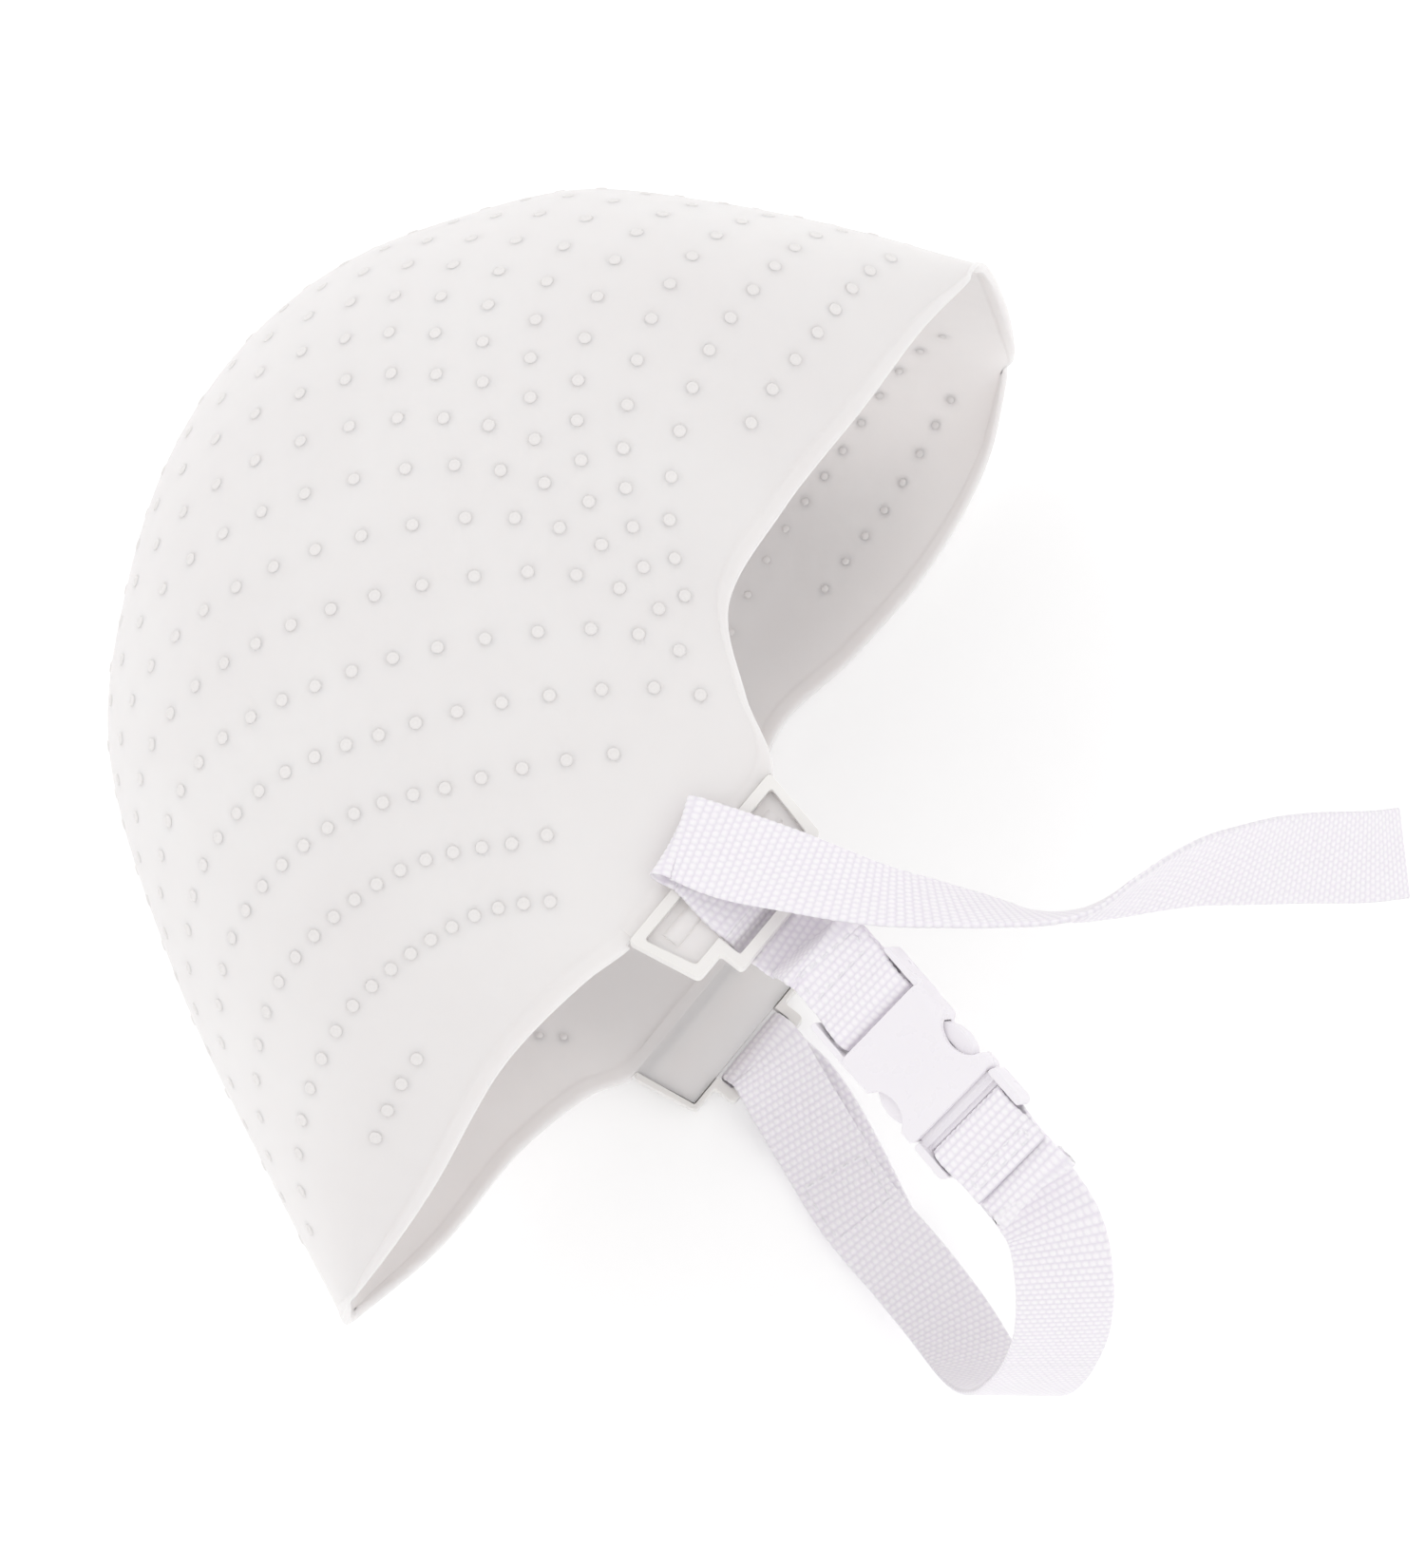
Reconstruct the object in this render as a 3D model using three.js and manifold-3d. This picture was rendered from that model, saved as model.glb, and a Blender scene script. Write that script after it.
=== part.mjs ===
// Silicone highlighting cap with a webbing chin strap and a side-release buckle, lying on its side.
// Millimetres, +Z up. The origin is the middle of the flat patch where the far side of the dome rests.
import * as THREE from 'three';
import { mergeVertices } from 'three/addons/utils/BufferGeometryUtils.js';
import Module from 'manifold-3d';

const wasm = await Module();
wasm.setup();

// ---- driving dimensions ----
const CAP_LENGTH = 280;        // nape to brow; the brow's edge stops a few millimetres short of it
const CAP_DEPTH = 134;         // that line to the crown
const CAP_HALF_WIDTH = 76;     // middle plane to the widest point of the skin
const SKIN = 1.6;              // silicone wall
const REST_SAG = 3;            // how far the skin is pressed flat where it rests

const EDGE_WIDTH = 46;         // strap frame: edge on the cap side
const SHOULDER_WIDTH = 39.6;   // strap frame: width where the shoulders end
const SHOULDER_DEPTH = 16.3;   // strap frame: cap edge to the shoulders
const BAR_BLOCK_DEPTH = 5.6;   // strap frame: how far the bar block stands out past the shoulders
const RIM = 2.4;               // strap frame: width of its raised rim
const RIM_HEIGHT = 2.6;        // strap frame: rim above the skin
const LIP = 1.2;               // strap frame: how far the rim laps over the edge of the ear tab
const RIDGE_WIDTH = 4;         // moulded ridge across the ear tab
const RIDGE_HEIGHT = 1.2;
const RIDGE_DEPTH = 6.4;       // cap edge to the middle of the ridge

const WEBBING_WIDTH = 20;
const WEBBING_THICK = 1.3;
const SLOT_PLAY = 0.5;         // each side of the webbing in a frame's slot
const GAP = 0.3;               // between pieces that touch
const FOLD_RADIUS = 2.2;       // soft fold where the free tail turns back
const LAP_FAR = 50;            // doubled-back lap at the far frame
const LAP_BUCKLE = 17;         // doubled-back laps at the two buckle halves

const BODY_LENGTH = 23;        // socket: mouth to the strap opening
const RAIL_LENGTH = 10;        // socket: rails beside the webbing
const BUCKLE_WALL = 1.8;
const BUCKLE_HEIGHT = 7.4;
const BUCKLE_PLAY = 0.4;       // prongs to the walls of the socket
const PLUG_LENGTH = 11;        // plug: mouth of the socket to its rear end
const BAR_RADIUS = 1.4;        // bars that the webbing loops turn round
const BAR_SETBACK = 3.5;       // socket body to the middle of its bar
const PLUG_BAR = 6.2;          // socket mouth to the middle of the plug's bar
const PRONG_LENGTH = 15.5;
const PRONG_EAR = 1.5;         // how far a prong's ear stands out of the cavity
const WINDOW_START = 3.5;      // socket mouth to the prong windows
const WINDOW_LENGTH = 11;

const THREAD = 0.8;            // sewing thread
const SEAM_INSET = 2.2;        // edge of the webbing to a row of stitches

// ---- placing ----
const CHORD_ANGLE = THREE.MathUtils.degToRad(59);
const REST_U = 0.457;          // rest patch, as a share of the cap's length and depth
const REST_V = 0.2835;
const BUCKLE_OFFSET = [52, -53.5, 13];   // socket mouth, from the middle of the near frame's edge
const BUCKLE_YAW = THREE.MathUtils.degToRad(-51);
const BUCKLE_PITCH = THREE.MathUtils.degToRad(8);
const BUCKLE_ROLL = THREE.MathUtils.degToRad(28);

// ---- materials ----
const silicone = new THREE.MeshStandardMaterial({ color: 0xe9e5e3, roughness: 0.5, metalness: 0 });
const frameWhite = new THREE.MeshStandardMaterial({ color: 0xf7f4f1, roughness: 0.45, metalness: 0 });
const webbing = new THREE.MeshStandardMaterial({ color: 0xf6f2f8, roughness: 0.85, metalness: 0 });
const buckleWhite = new THREE.MeshStandardMaterial({ color: 0xf7f3f8, roughness: 0.3, metalness: 0 });
const thread = new THREE.MeshStandardMaterial({ color: 0xfaf8fb, roughness: 0.7, metalness: 0 });

// ---- solids ----
function solid(geometry) {
  const bare = geometry.clone();
  bare.deleteAttribute('normal');
  bare.deleteAttribute('uv');
  const merged = mergeVertices(bare, 1e-4);
  return new wasm.Manifold(new wasm.Mesh({
    numProp: 3,
    vertProperties: new Float32Array(merged.attributes.position.array),
    triVerts: new Uint32Array(merged.index.array),
  }));
}

function geometryOf(body) {
  const mesh = body.getMesh();
  const geometry = new THREE.BufferGeometry();
  geometry.setAttribute('position', new THREE.BufferAttribute(new Float32Array(mesh.vertProperties), 3));
  geometry.setIndex(new THREE.BufferAttribute(new Uint32Array(mesh.triVerts), 1));
  geometry.computeVertexNormals();
  return geometry;
}

function named(name, geometry, material) {
  const mesh = new THREE.Mesh(geometry, material);
  mesh.name = name;
  return mesh;
}

// A block between two x, two y and two z values.
function block([x0, x1], [y0, y1], [z0, z1]) {
  const box = new THREE.BoxGeometry(x1 - x0, y1 - y0, z1 - z0);
  return solid(box.translate((x0 + x1) / 2, (y0 + y1) / 2, (z0 + z1) / 2));
}

// A flat outline of [x, y] points, from z0 to z1.
function plate(points, z0, z1) {
  const shape = new THREE.Shape(points.map(([x, y]) => new THREE.Vector2(x, y)));
  const body = new THREE.ExtrudeGeometry(shape, { depth: z1 - z0, bevelEnabled: false });
  return solid(body.translate(0, 0, z0));
}

// A round bar along y, from -half to half, at (x, z).
function crossBar(x, z, radius, half) {
  return solid(new THREE.CylinderGeometry(radius, radius, 2 * half, 20).translate(x, 0, z));
}

// Closes a grid of points, rows by columns, where each row is a closed loop, with a cap on both ends.
function closedSweep(rows) {
  const count = rows[0].length;
  const position = rows.flat().flatMap((p) => [p.x, p.y, p.z]);
  const index = [];
  for (let i = 0; i + 1 < rows.length; i += 1) {
    for (let j = 0; j < count; j += 1) {
      const a = i * count + j;
      const b = i * count + ((j + 1) % count);
      index.push(a, a + count, b, b, a + count, b + count);
    }
  }
  const last = (rows.length - 1) * count;
  for (let j = 1; j + 1 < count; j += 1) {
    index.push(0, j, j + 1, last, last + j + 1, last + j);
  }
  const geometry = new THREE.BufferGeometry();
  geometry.setAttribute('position', new THREE.Float32BufferAttribute(position, 3));
  geometry.setIndex(index);
  geometry.computeVertexNormals();
  return geometry;
}

// ---- the cap's skin ----
// Stations from nape to brow, as drawn on a cap 280 long, 134 deep and 76 to each side:
// along the opening, towards the crown, and out from the middle plane.
const DRAWN = [280, 134, 76];
const crownLine = stations([
  [0, 0, 0], [18, 30, 0], [44, 70, 0], [80, 110.5, 0], [113, 126.5, 0], [142, 134, 0], [170, 134, 0],
  [198, 125, 0], [222.5, 107, 0], [242.5, 85, 0], [254.5, 55.5, 0], [265, 25, 0], [273, -5, 0],
]);
const nearRim = stations([
  [5, -1, 11], [29, -6, 40], [58, -7, 56], [80, -13, 64], [92, -18, 67], [114, -21.3, 68], [137, -24.5, 68],
  [149, -11, 69], [164, 2, 69], [188, 3, 68], [218, 0.5, 63], [241, -0.5, 56], [262, -3, 44],
]);
const farRim = stations([
  [3, -1, -13], [28, -5, -39], [57, -7, -55], [77, -13, -63], [87, -19.5, -66.5], [109, -23, -67],
  [132, -26, -67], [152, -15, -68], [174, -5.5, -69], [200, -11.5, -69], [228, -16, -67], [256, -15, -62],
  [277, -8.5, -49],
]);
const TAB_STATION = 5;         // the station in the middle of the strap frames
const BULGE = 13.5;            // how far the sides swell out past the rim, as drawn
const FULLNESS = 0.92;         // below 1 the cross-section is fuller than an ellipse

function stations(points) {
  return new THREE.CatmullRomCurve3(points.map(([u, v, w]) => new THREE.Vector3(
    u * CAP_LENGTH / DRAWN[0],
    v * CAP_DEPTH / DRAWN[1],
    w * CAP_HALF_WIDTH / DRAWN[2],
  )));
}

// A point of the outer skin: s runs from nape to brow, t from the far rim (-1) over the crown to the near (1).
function skinPoint(s, t) {
  const crown = crownLine.getPoint(s);
  const near = nearRim.getPoint(s);
  const far = farRim.getPoint(s);
  const middle = near.clone().add(far).multiplyScalar(0.5);
  const rim = t < 0 ? far : near;
  const q = Math.abs(t);
  const side = Math.sin(q * Math.PI / 2) ** FULLNESS;
  const rise = Math.max(0, Math.cos(q * Math.PI / 2)) ** FULLNESS;
  const swell = BULGE * CAP_HALF_WIDTH / DRAWN[2] * Math.sin(Math.PI * s) ** 0.7 * Math.sin(Math.PI * q ** 1.3);
  const point = middle.clone()
    .add(rim.sub(middle).multiplyScalar(side))
    .add(crown.sub(middle).multiplyScalar(rise));
  point.z += Math.sign(t) * swell;
  return point;
}

function skinNormal(s, t) {
  const step = 1e-3;
  const along = skinPoint(Math.min(1, s + step), t).sub(skinPoint(Math.max(0, s - step), t));
  const across = skinPoint(s, Math.min(1, t + step)).sub(skinPoint(s, Math.max(-1, t - step)));
  return along.cross(across).normalize();
}

const restLevel = REST_SAG - CAP_HALF_WIDTH;
const HOOPS = 40;
const HOOP_STEPS = 44;

function skinShell() {
  const rows = [];
  for (let i = 0; i <= HOOPS; i += 1) {
    const s = i / HOOPS;
    const outer = [];
    const inner = [];
    for (let j = 0; j <= HOOP_STEPS; j += 1) {
      const t = 2 * j / HOOP_STEPS - 1;
      const point = skinPoint(s, t);
      const under = point.clone().addScaledVector(skinNormal(s, t), SKIN);
      point.z = Math.max(point.z, restLevel);
      under.z = Math.max(under.z, restLevel + SKIN);
      outer.push(point);
      inner.unshift(under);
    }
    rows.push([...outer, ...inner]);
  }
  return rows;
}

// The skin is a sheet folded on itself, so its end caps are strips between the two layers.
function shellGeometry(rows) {
  const count = rows[0].length;
  const position = rows.flat().flatMap((p) => [p.x, p.y, p.z]);
  const index = [];
  for (let i = 0; i + 1 < rows.length; i += 1) {
    for (let j = 0; j < count; j += 1) {
      const a = i * count + j;
      const b = i * count + ((j + 1) % count);
      index.push(a, b, a + count, b, b + count, a + count);
    }
  }
  const last = (rows.length - 1) * count;
  for (let j = 0; j + 1 < count / 2; j += 1) {
    const k = count - 1 - j;
    index.push(j, k, j + 1, j + 1, k, k - 1);
    index.push(last + j, last + j + 1, last + k, last + j + 1, last + k - 1, last + k);
  }
  const geometry = new THREE.BufferGeometry();
  geometry.setAttribute('position', new THREE.Float32BufferAttribute(position, 3));
  geometry.setIndex(index);
  return geometry;
}

// ---- strap frames and ear tabs ----
// Frame axes: x along the cap-side edge, y towards the cap, z out of the skin; its origin is the middle of
// that edge, on the outer face of the skin.
const blockWidth = WEBBING_WIDTH + 2 * SLOT_PLAY + 2 * RIM;
const frameDepth = SHOULDER_DEPTH + BAR_BLOCK_DEPTH;
const barInner = frameDepth - RIM;             // cap edge to the inner side of the outer bar
const tabDepth = SHOULDER_DEPTH - RIM + LIP - GAP;  // cap edge to the end of the ear tab

// The outline of the tab's trapezium, drawn in by an inset; its cap-side edge is at y = top.
function tabOutline(inset, top) {
  const taper = (EDGE_WIDTH - SHOULDER_WIDTH) / 2 / SHOULDER_DEPTH;
  const half = (y) => EDGE_WIDTH / 2 - inset + taper * Math.min(0, y);
  const bottom = -SHOULDER_DEPTH + inset;
  return [[-half(bottom), bottom], [half(bottom), bottom], [half(0), Math.min(0, top)], [half(0), top],
    [-half(0), top], [-half(0), Math.min(0, top)]].filter(([x, y], i, all) => {
    const [px, py] = all[(i + all.length - 1) % all.length];
    return Math.hypot(x - px, y - py) > 1e-6;
  });
}

function strapFrame() {
  const outer = plate(tabOutline(0, 0), -SKIN - GAP, RIM_HEIGHT);
  const half = blockWidth / 2;
  const barBlock = block([-half, half], [-frameDepth, -SHOULDER_DEPTH + RIM], [-SKIN - GAP, RIM_HEIGHT]);
  const pocket = plate(tabOutline(RIM - LIP, RIM), -SKIN - 2 * GAP, GAP);
  const window = plate(tabOutline(RIM, -RIM), 0, RIM_HEIGHT + GAP);
  const slot = block([-half + RIM, half - RIM], [-frameDepth + RIM, -SHOULDER_DEPTH + RIM + GAP],
    [-SKIN - 2 * GAP, RIM_HEIGHT + GAP]);
  return outer.add(barBlock).subtract(pocket).subtract(window).subtract(slot);
}

// The tab stops short of the frame's shoulders, and carries a half-round ridge on its outer face.
function earTab() {
  const lift = 3;
  const flat = plate(tabOutline(RIM - LIP + GAP, lift), -SKIN, 0);
  const half = SHOULDER_WIDTH / 2 - RIM - GAP;
  const round = new THREE.CylinderGeometry(1, 1, 2 * half, 16).rotateZ(Math.PI / 2)
    .scale(1, RIDGE_WIDTH / 2, RIDGE_HEIGHT);
  const ridge = solid(round.translate(0, -RIDGE_DEPTH, 0))
    .subtract(block([-EDGE_WIDTH, EDGE_WIDTH], [-EDGE_WIDTH, 0], [-RIDGE_HEIGHT - 1, -SKIN / 2]));
  return flat.add(ridge);
}

// Where a frame sits on the rim, as a matrix in the cap's own axes.
function frameMatrix(rim, side) {
  const last = rim.points.length - 1;
  const tangent = rim.getPoint((TAB_STATION + 1) / last).sub(rim.getPoint((TAB_STATION - 1) / last));
  const x = new THREE.Vector3(tangent.x, tangent.y, 0).normalize().multiplyScalar(side);
  const z = new THREE.Vector3(0, 0, side);
  const y = z.clone().cross(x);
  return new THREE.Matrix4().makeBasis(x, y, z).setPosition(rim.getPoint(TAB_STATION / last));
}

const nearFrame = frameMatrix(nearRim, 1);
const farFrame = frameMatrix(farRim, -1);

function capShell() {
  let body = solid(shellGeometry(skinShell()));
  const half = EDGE_WIDTH / 2 + GAP;
  const trim = geometryOf(block([-half, half], [-frameDepth, GAP], [-frameDepth / 2, frameDepth / 2]));
  const tab = geometryOf(earTab());
  for (const matrix of [nearFrame, farFrame]) {
    body = body.subtract(solid(trim.clone().applyMatrix4(matrix))).add(solid(tab.clone().applyMatrix4(matrix)));
  }
  return geometryOf(body);
}

// ---- placing the cap on the table ----
const cap = new THREE.Group();
cap.rotation.z = CHORD_ANGLE;
const restPoint = new THREE.Vector3(REST_U * CAP_LENGTH, REST_V * CAP_DEPTH, restLevel);
cap.position.copy(restPoint.applyAxisAngle(new THREE.Vector3(0, 0, 1), CHORD_ANGLE).negate());
cap.updateMatrixWorld();
const nearWorld = nearFrame.clone().premultiply(cap.matrixWorld);
const farWorld = farFrame.clone().premultiply(cap.matrixWorld);
const nearEdge = new THREE.Vector3().setFromMatrixPosition(nearWorld);
const farEdge = new THREE.Vector3().setFromMatrixPosition(farWorld);

// ---- webbing ----
// A station is a point of the middle line and the direction across the webbing, in world axes.
function station(matrix, point, across = [1, 0, 0]) {
  return {
    at: new THREE.Vector3(...point).applyMatrix4(matrix),
    across: new THREE.Vector3(...across).transformDirection(matrix),
  };
}

function band(list, stepsBetween = 4) {
  const centre = new THREE.CatmullRomCurve3(list.map((item) => item.at));
  const side = new THREE.CatmullRomCurve3(list.map((item) => item.across));
  const steps = (list.length - 1) * stepsBetween;
  const rows = [];
  for (let i = 0; i <= steps; i += 1) {
    const at = centre.getPoint(i / steps);
    const tangent = centre.getTangent(i / steps);
    const across = side.getPoint(i / steps);
    across.addScaledVector(tangent, -across.dot(tangent)).normalize().multiplyScalar(WEBBING_WIDTH / 2);
    const up = tangent.clone().cross(across).normalize().multiplyScalar(WEBBING_THICK / 2);
    rows.push([[1, 1], [1, -1], [-1, -1], [-1, 1]].map(([a, b]) => at.clone()
      .addScaledVector(across, a).addScaledVector(up, b)));
  }
  return closedSweep(rows);
}

// Half a turn round a bar along y at (x, z), in a buckle half's axes, from above (1) or below (-1).
const loopRadius = BAR_RADIUS + GAP + WEBBING_THICK / 2;
function turn(matrix, x, facing, from) {
  return [90, 60, 30, 0, -30, -60, -90].map((degrees) => {
    const angle = THREE.MathUtils.degToRad(degrees) * from;
    const point = [x + facing * loopRadius * Math.cos(angle), 0, loopRadius * Math.sin(angle)];
    return station(matrix, point, [0, 1, 0]);
  });
}

const layer = (WEBBING_THICK + GAP) / 2;       // middle of each of two layers that lie together

// Buckle axes: x along the release direction, y across, z out of the face; the origin is the socket's mouth.
const buckle = new THREE.Group();
buckle.rotation.set(BUCKLE_ROLL, -BUCKLE_PITCH, BUCKLE_YAW, 'ZYX');
buckle.position.set(...BUCKLE_OFFSET).add(nearEdge);
buckle.updateMatrixWorld();
const buckleWorld = buckle.matrixWorld;
const socketBar = -BODY_LENGTH - BAR_SETBACK;

// From the lap under the socket's bar, over it, up through the near frame, back over itself and out as the tail.
const overRim = RIM_HEIGHT + GAP + WEBBING_THICK / 2;
const overTab = GAP + WEBBING_THICK / 2;
const underFrame = -SKIN - 2 * GAP - WEBBING_THICK / 2;
const FOLD_LEAN = THREE.MathUtils.degToRad(13.4);  // the fold's crease, from square across the webbing
function foldStations() {
  const crease = new THREE.Vector3(Math.cos(FOLD_LEAN), Math.sin(FOLD_LEAN), 0);
  const inward = new THREE.Vector3(-Math.sin(FOLD_LEAN), Math.cos(FOLD_LEAN), 0);
  const start = new THREE.Vector3(1.4, 5.3, overRim);
  const list = [];
  for (let i = 0; i <= 6; i += 1) {
    const angle = Math.PI * i / 6;
    const spread = (vector) => crease.clone().multiplyScalar(vector.dot(crease))
      .addScaledVector(inward, vector.dot(inward) * Math.cos(angle))
      .add(new THREE.Vector3(0, 0, vector.dot(inward) * Math.sin(angle)));
    const at = start.clone()
      .addScaledVector(inward, FOLD_RADIUS * Math.sin(angle))
      .addScaledVector(crease, Math.tan(FOLD_LEAN) * FOLD_RADIUS * angle);
    at.z += FOLD_RADIUS * (1 - Math.cos(angle));
    list.push(station(nearWorld, at.toArray(), spread(new THREE.Vector3(1, 0, 0)).toArray()));
  }
  return list;
}

// The tail's points, as drawn from the middle of the near frame's edge, with its twist about its own run.
const tailRun = [
  [6, 0.5, 9.2, 8], [22.5, -6, 11, 26], [36.5, -9.7, 11, 40], [49.5, -11.3, 9.5, 52], [59, -12, 7, 61],
  [70, -12.5, 3.5, 72], [79, -10.7, -1, 82], [88, -6.5, -6, 95], [97, -2, -12, 106], [105, 1.5, -18, 115],
  [116, 5, -27, 126], [130, 9, -41, 139], [146.5, 13, -58, 150], [155, 16, -68, 155],
];

function tailStations() {
  return tailRun.map(([x, y, z, degrees], i) => {
    const [px, py] = tailRun[Math.max(0, i - 1)];
    const [nx, ny] = tailRun[Math.min(tailRun.length - 1, i + 1)];
    const level = new THREE.Vector3(py - ny, nx - px, 0).normalize();
    const twist = THREE.MathUtils.degToRad(degrees);
    const across = level.multiplyScalar(Math.cos(twist)).add(new THREE.Vector3(0, 0, -Math.sin(twist)));
    return { at: new THREE.Vector3(x, y, z).add(nearEdge), across };
  });
}

function frontStrap() {
  const list = [
    station(buckleWorld, [socketBar - LAP_BUCKLE, 0, -layer], [0, 1, 0]),
    station(buckleWorld, [socketBar - LAP_BUCKLE / 2, 0, -layer], [0, 1, 0]),
    station(buckleWorld, [socketBar - 3.5, 0, -1.9], [0, 1, 0]),
    ...turn(buckleWorld, socketBar, 1, -1),
    station(buckleWorld, [socketBar - 3.5, 0, 1.9], [0, 1, 0]),
    station(buckleWorld, [socketBar - 6.5, 0, layer], [0, 1, 0]),
    station(buckleWorld, [socketBar - 9, 0, layer], [0, 1, 0]),
    station(buckleWorld, [socketBar - LAP_BUCKLE + 3, 0, layer], [0, 1, 0]),
    station(buckleWorld, [socketBar - LAP_BUCKLE, 0, layer], [0, 1, 0]),
    station(nearWorld, [0.8, -frameDepth - 6, underFrame - 0.6], [0.97, -0.2, 0]),
    station(nearWorld, [0.4, -frameDepth - 0.5, underFrame], [1, -0.05, 0]),
    station(nearWorld, [0.2, -barInner - 0.5, underFrame - 0.45]),
    station(nearWorld, [0, -barInner + 1.7, underFrame + 0.75]),
    station(nearWorld, [0, -tabDepth - 1.4, overTab - 0.7]),
    station(nearWorld, [0, -tabDepth + 0.1, overTab + 0.3]),
    station(nearWorld, [0, -(RIDGE_DEPTH + RIDGE_WIDTH / 2 + tabDepth) / 2, overTab + 0.4]),
    station(nearWorld, [0.4, -RIDGE_DEPTH, overTab + RIDGE_HEIGHT + 0.2]),
    station(nearWorld, [0.8, -RIM - 0.6, overRim]),
    station(nearWorld, [1.2, 1, overRim]),
    ...foldStations(),
    ...tailStations(),
  ];
  return band(list);
}

// From the lap on the plug's bar, down the near leg, round the bend, up the far leg to the far frame and back.
// The bend's points are as drawn for the nominal plug and far frame; they follow both when a size changes.
const DRAWN_PLUG = [99.5, -100.8, 154.9];
const DRAWN_FAR_EDGE = [42.5, -47.6, 6];
const bendRun = [
  // x, y, z, then the direction across, and how much the point follows the plug rather than the frame
  [109, -110.5, 150, 0.84, 0.4, 0.37, 0.95], [115.5, -119.5, 144, 0.95, 0.2, 0.22, 0.9],
  [118, -129, 135, 0.99, 0.04, 0.08, 0.8], [118.5, -137, 120, 1, 0.03, -0.08, 0.7],
  [117, -142, 103, 0.98, 0, -0.18, 0.6], [114.5, -144.5, 82, 0.97, -0.03, -0.24, 0.5],
  [112, -143.5, 58, 0.96, 0.02, -0.24, 0.4], [109, -139, 35, 0.95, 0.12, -0.24, 0.3],
  [105.5, -131, 17, 0.93, 0.3, -0.15, 0.2], [100, -121, 7.5, 0.88, 0.46, -0.06, 0.12],
  [92, -110, 3.5, 0.83, 0.55, 0, 0.06], [80, -95.5, 2.8, 0.81, 0.58, 0, 0.02],
];

function bendStations() {
  const plugShift = new THREE.Vector3(PLUG_BAR, 0, 0).applyMatrix4(buckleWorld).sub(new THREE.Vector3(...DRAWN_PLUG));
  const farShift = farEdge.clone().sub(new THREE.Vector3(...DRAWN_FAR_EDGE));
  return bendRun.map(([x, y, z, ax, ay, az, share]) => ({
    at: new THREE.Vector3(x, y, z).addScaledVector(plugShift, share).addScaledVector(farShift, 1 - share),
    across: new THREE.Vector3(ax, ay, az),
  }));
}

function backStrap() {
  const flip = [-1, 0, 0];                 // the far frame's x runs the other way
  const inSlot = barInner - GAP - WEBBING_THICK / 2;
  const lapLevel = farEdge.z - GAP - WEBBING_THICK / 2;
  const list = [
    station(buckleWorld, [PLUG_BAR + LAP_BUCKLE, 0, layer], [0, 1, 0]),
    station(buckleWorld, [PLUG_BAR + 9, 0, layer], [0, 1, 0]),
    station(buckleWorld, [PLUG_BAR + 6.5, 0, layer], [0, 1, 0]),
    station(buckleWorld, [PLUG_BAR + 3.5, 0, 1.9], [0, 1, 0]),
    ...turn(buckleWorld, PLUG_BAR, -1, 1),
    station(buckleWorld, [PLUG_BAR + 3.5, 0, -1.9], [0, 1, 0]),
    station(buckleWorld, [PLUG_BAR + LAP_BUCKLE / 2, 0, -layer], [0, 1, 0]),
    station(buckleWorld, [PLUG_BAR + LAP_BUCKLE, 0, -layer - 0.6], [0, 1, 0]),
    ...bendStations(),
    station(farWorld, [8.3, -frameDepth - 23, 3.3], [-1, -0.3, 0]),
    station(farWorld, [3.5, -frameDepth - 9, 0.2], [-1, -0.25, 0]),
    station(farWorld, [0.5, -frameDepth - 0.5, underFrame - 0.2], [-1, -0.08, 0]),
    station(farWorld, [0, -barInner - 0.6, underFrame - 0.55], flip),
    station(farWorld, [0, -barInner + 1, underFrame + 0.4], flip),
    station(farWorld, [0, -inSlot + 0.3, -1], flip),
    station(farWorld, [0, -inSlot, 0.4], flip),
    station(farWorld, [0, -inSlot + 0.2, 2.1], flip),
    station(farWorld, [0, -barInner + 0.3, overRim + 0.1], flip),
    station(farWorld, [0, -frameDepth - 0.5, overRim], flip),
    station(farWorld, [0.2, -frameDepth - 8, lapLevel - 0.4], [-1, -0.12, 0]),
    station(farWorld, [3, -frameDepth - 18, lapLevel], [-1, -0.25, 0]),
    station(farWorld, [LAP_FAR * 0.3, -frameDepth - LAP_FAR * 0.9, lapLevel], [-1, -0.36, 0]),
  ];
  return band(list);
}

// ---- buckle ----
const cavityHalf = WEBBING_WIDTH / 2 + BUCKLE_PLAY;
const bodyHalf = cavityHalf + BUCKLE_WALL;
const cavityHeight = BUCKLE_HEIGHT / 2 - BUCKLE_WALL;
const prongHeight = cavityHeight - GAP;

function socketBody() {
  const half = BUCKLE_HEIGHT / 2;
  const shell = block([-BODY_LENGTH, 0], [-bodyHalf, bodyHalf], [-half, half]);
  const cavity = block([-BODY_LENGTH + BUCKLE_WALL, 1], [-cavityHalf, cavityHalf], [-cavityHeight, cavityHeight]);
  let body = shell.subtract(cavity);
  for (const side of [-1, 1]) {
    const window = [side * (cavityHalf - 2), side * (bodyHalf + 1)].sort((a, b) => a - b);
    const rail = [side * (bodyHalf - BUCKLE_WALL + GAP), side * bodyHalf].sort((a, b) => a - b);
    body = body
      .subtract(block([-WINDOW_START - WINDOW_LENGTH, -WINDOW_START], window, [-half - 1, half + 1]))
      .add(block([-BODY_LENGTH - RAIL_LENGTH, -BODY_LENGTH + 1], rail, [-2.8, 2.8]));
  }
  return geometryOf(body.add(crossBar(socketBar, 0, BAR_RADIUS, bodyHalf - GAP)));
}

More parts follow.
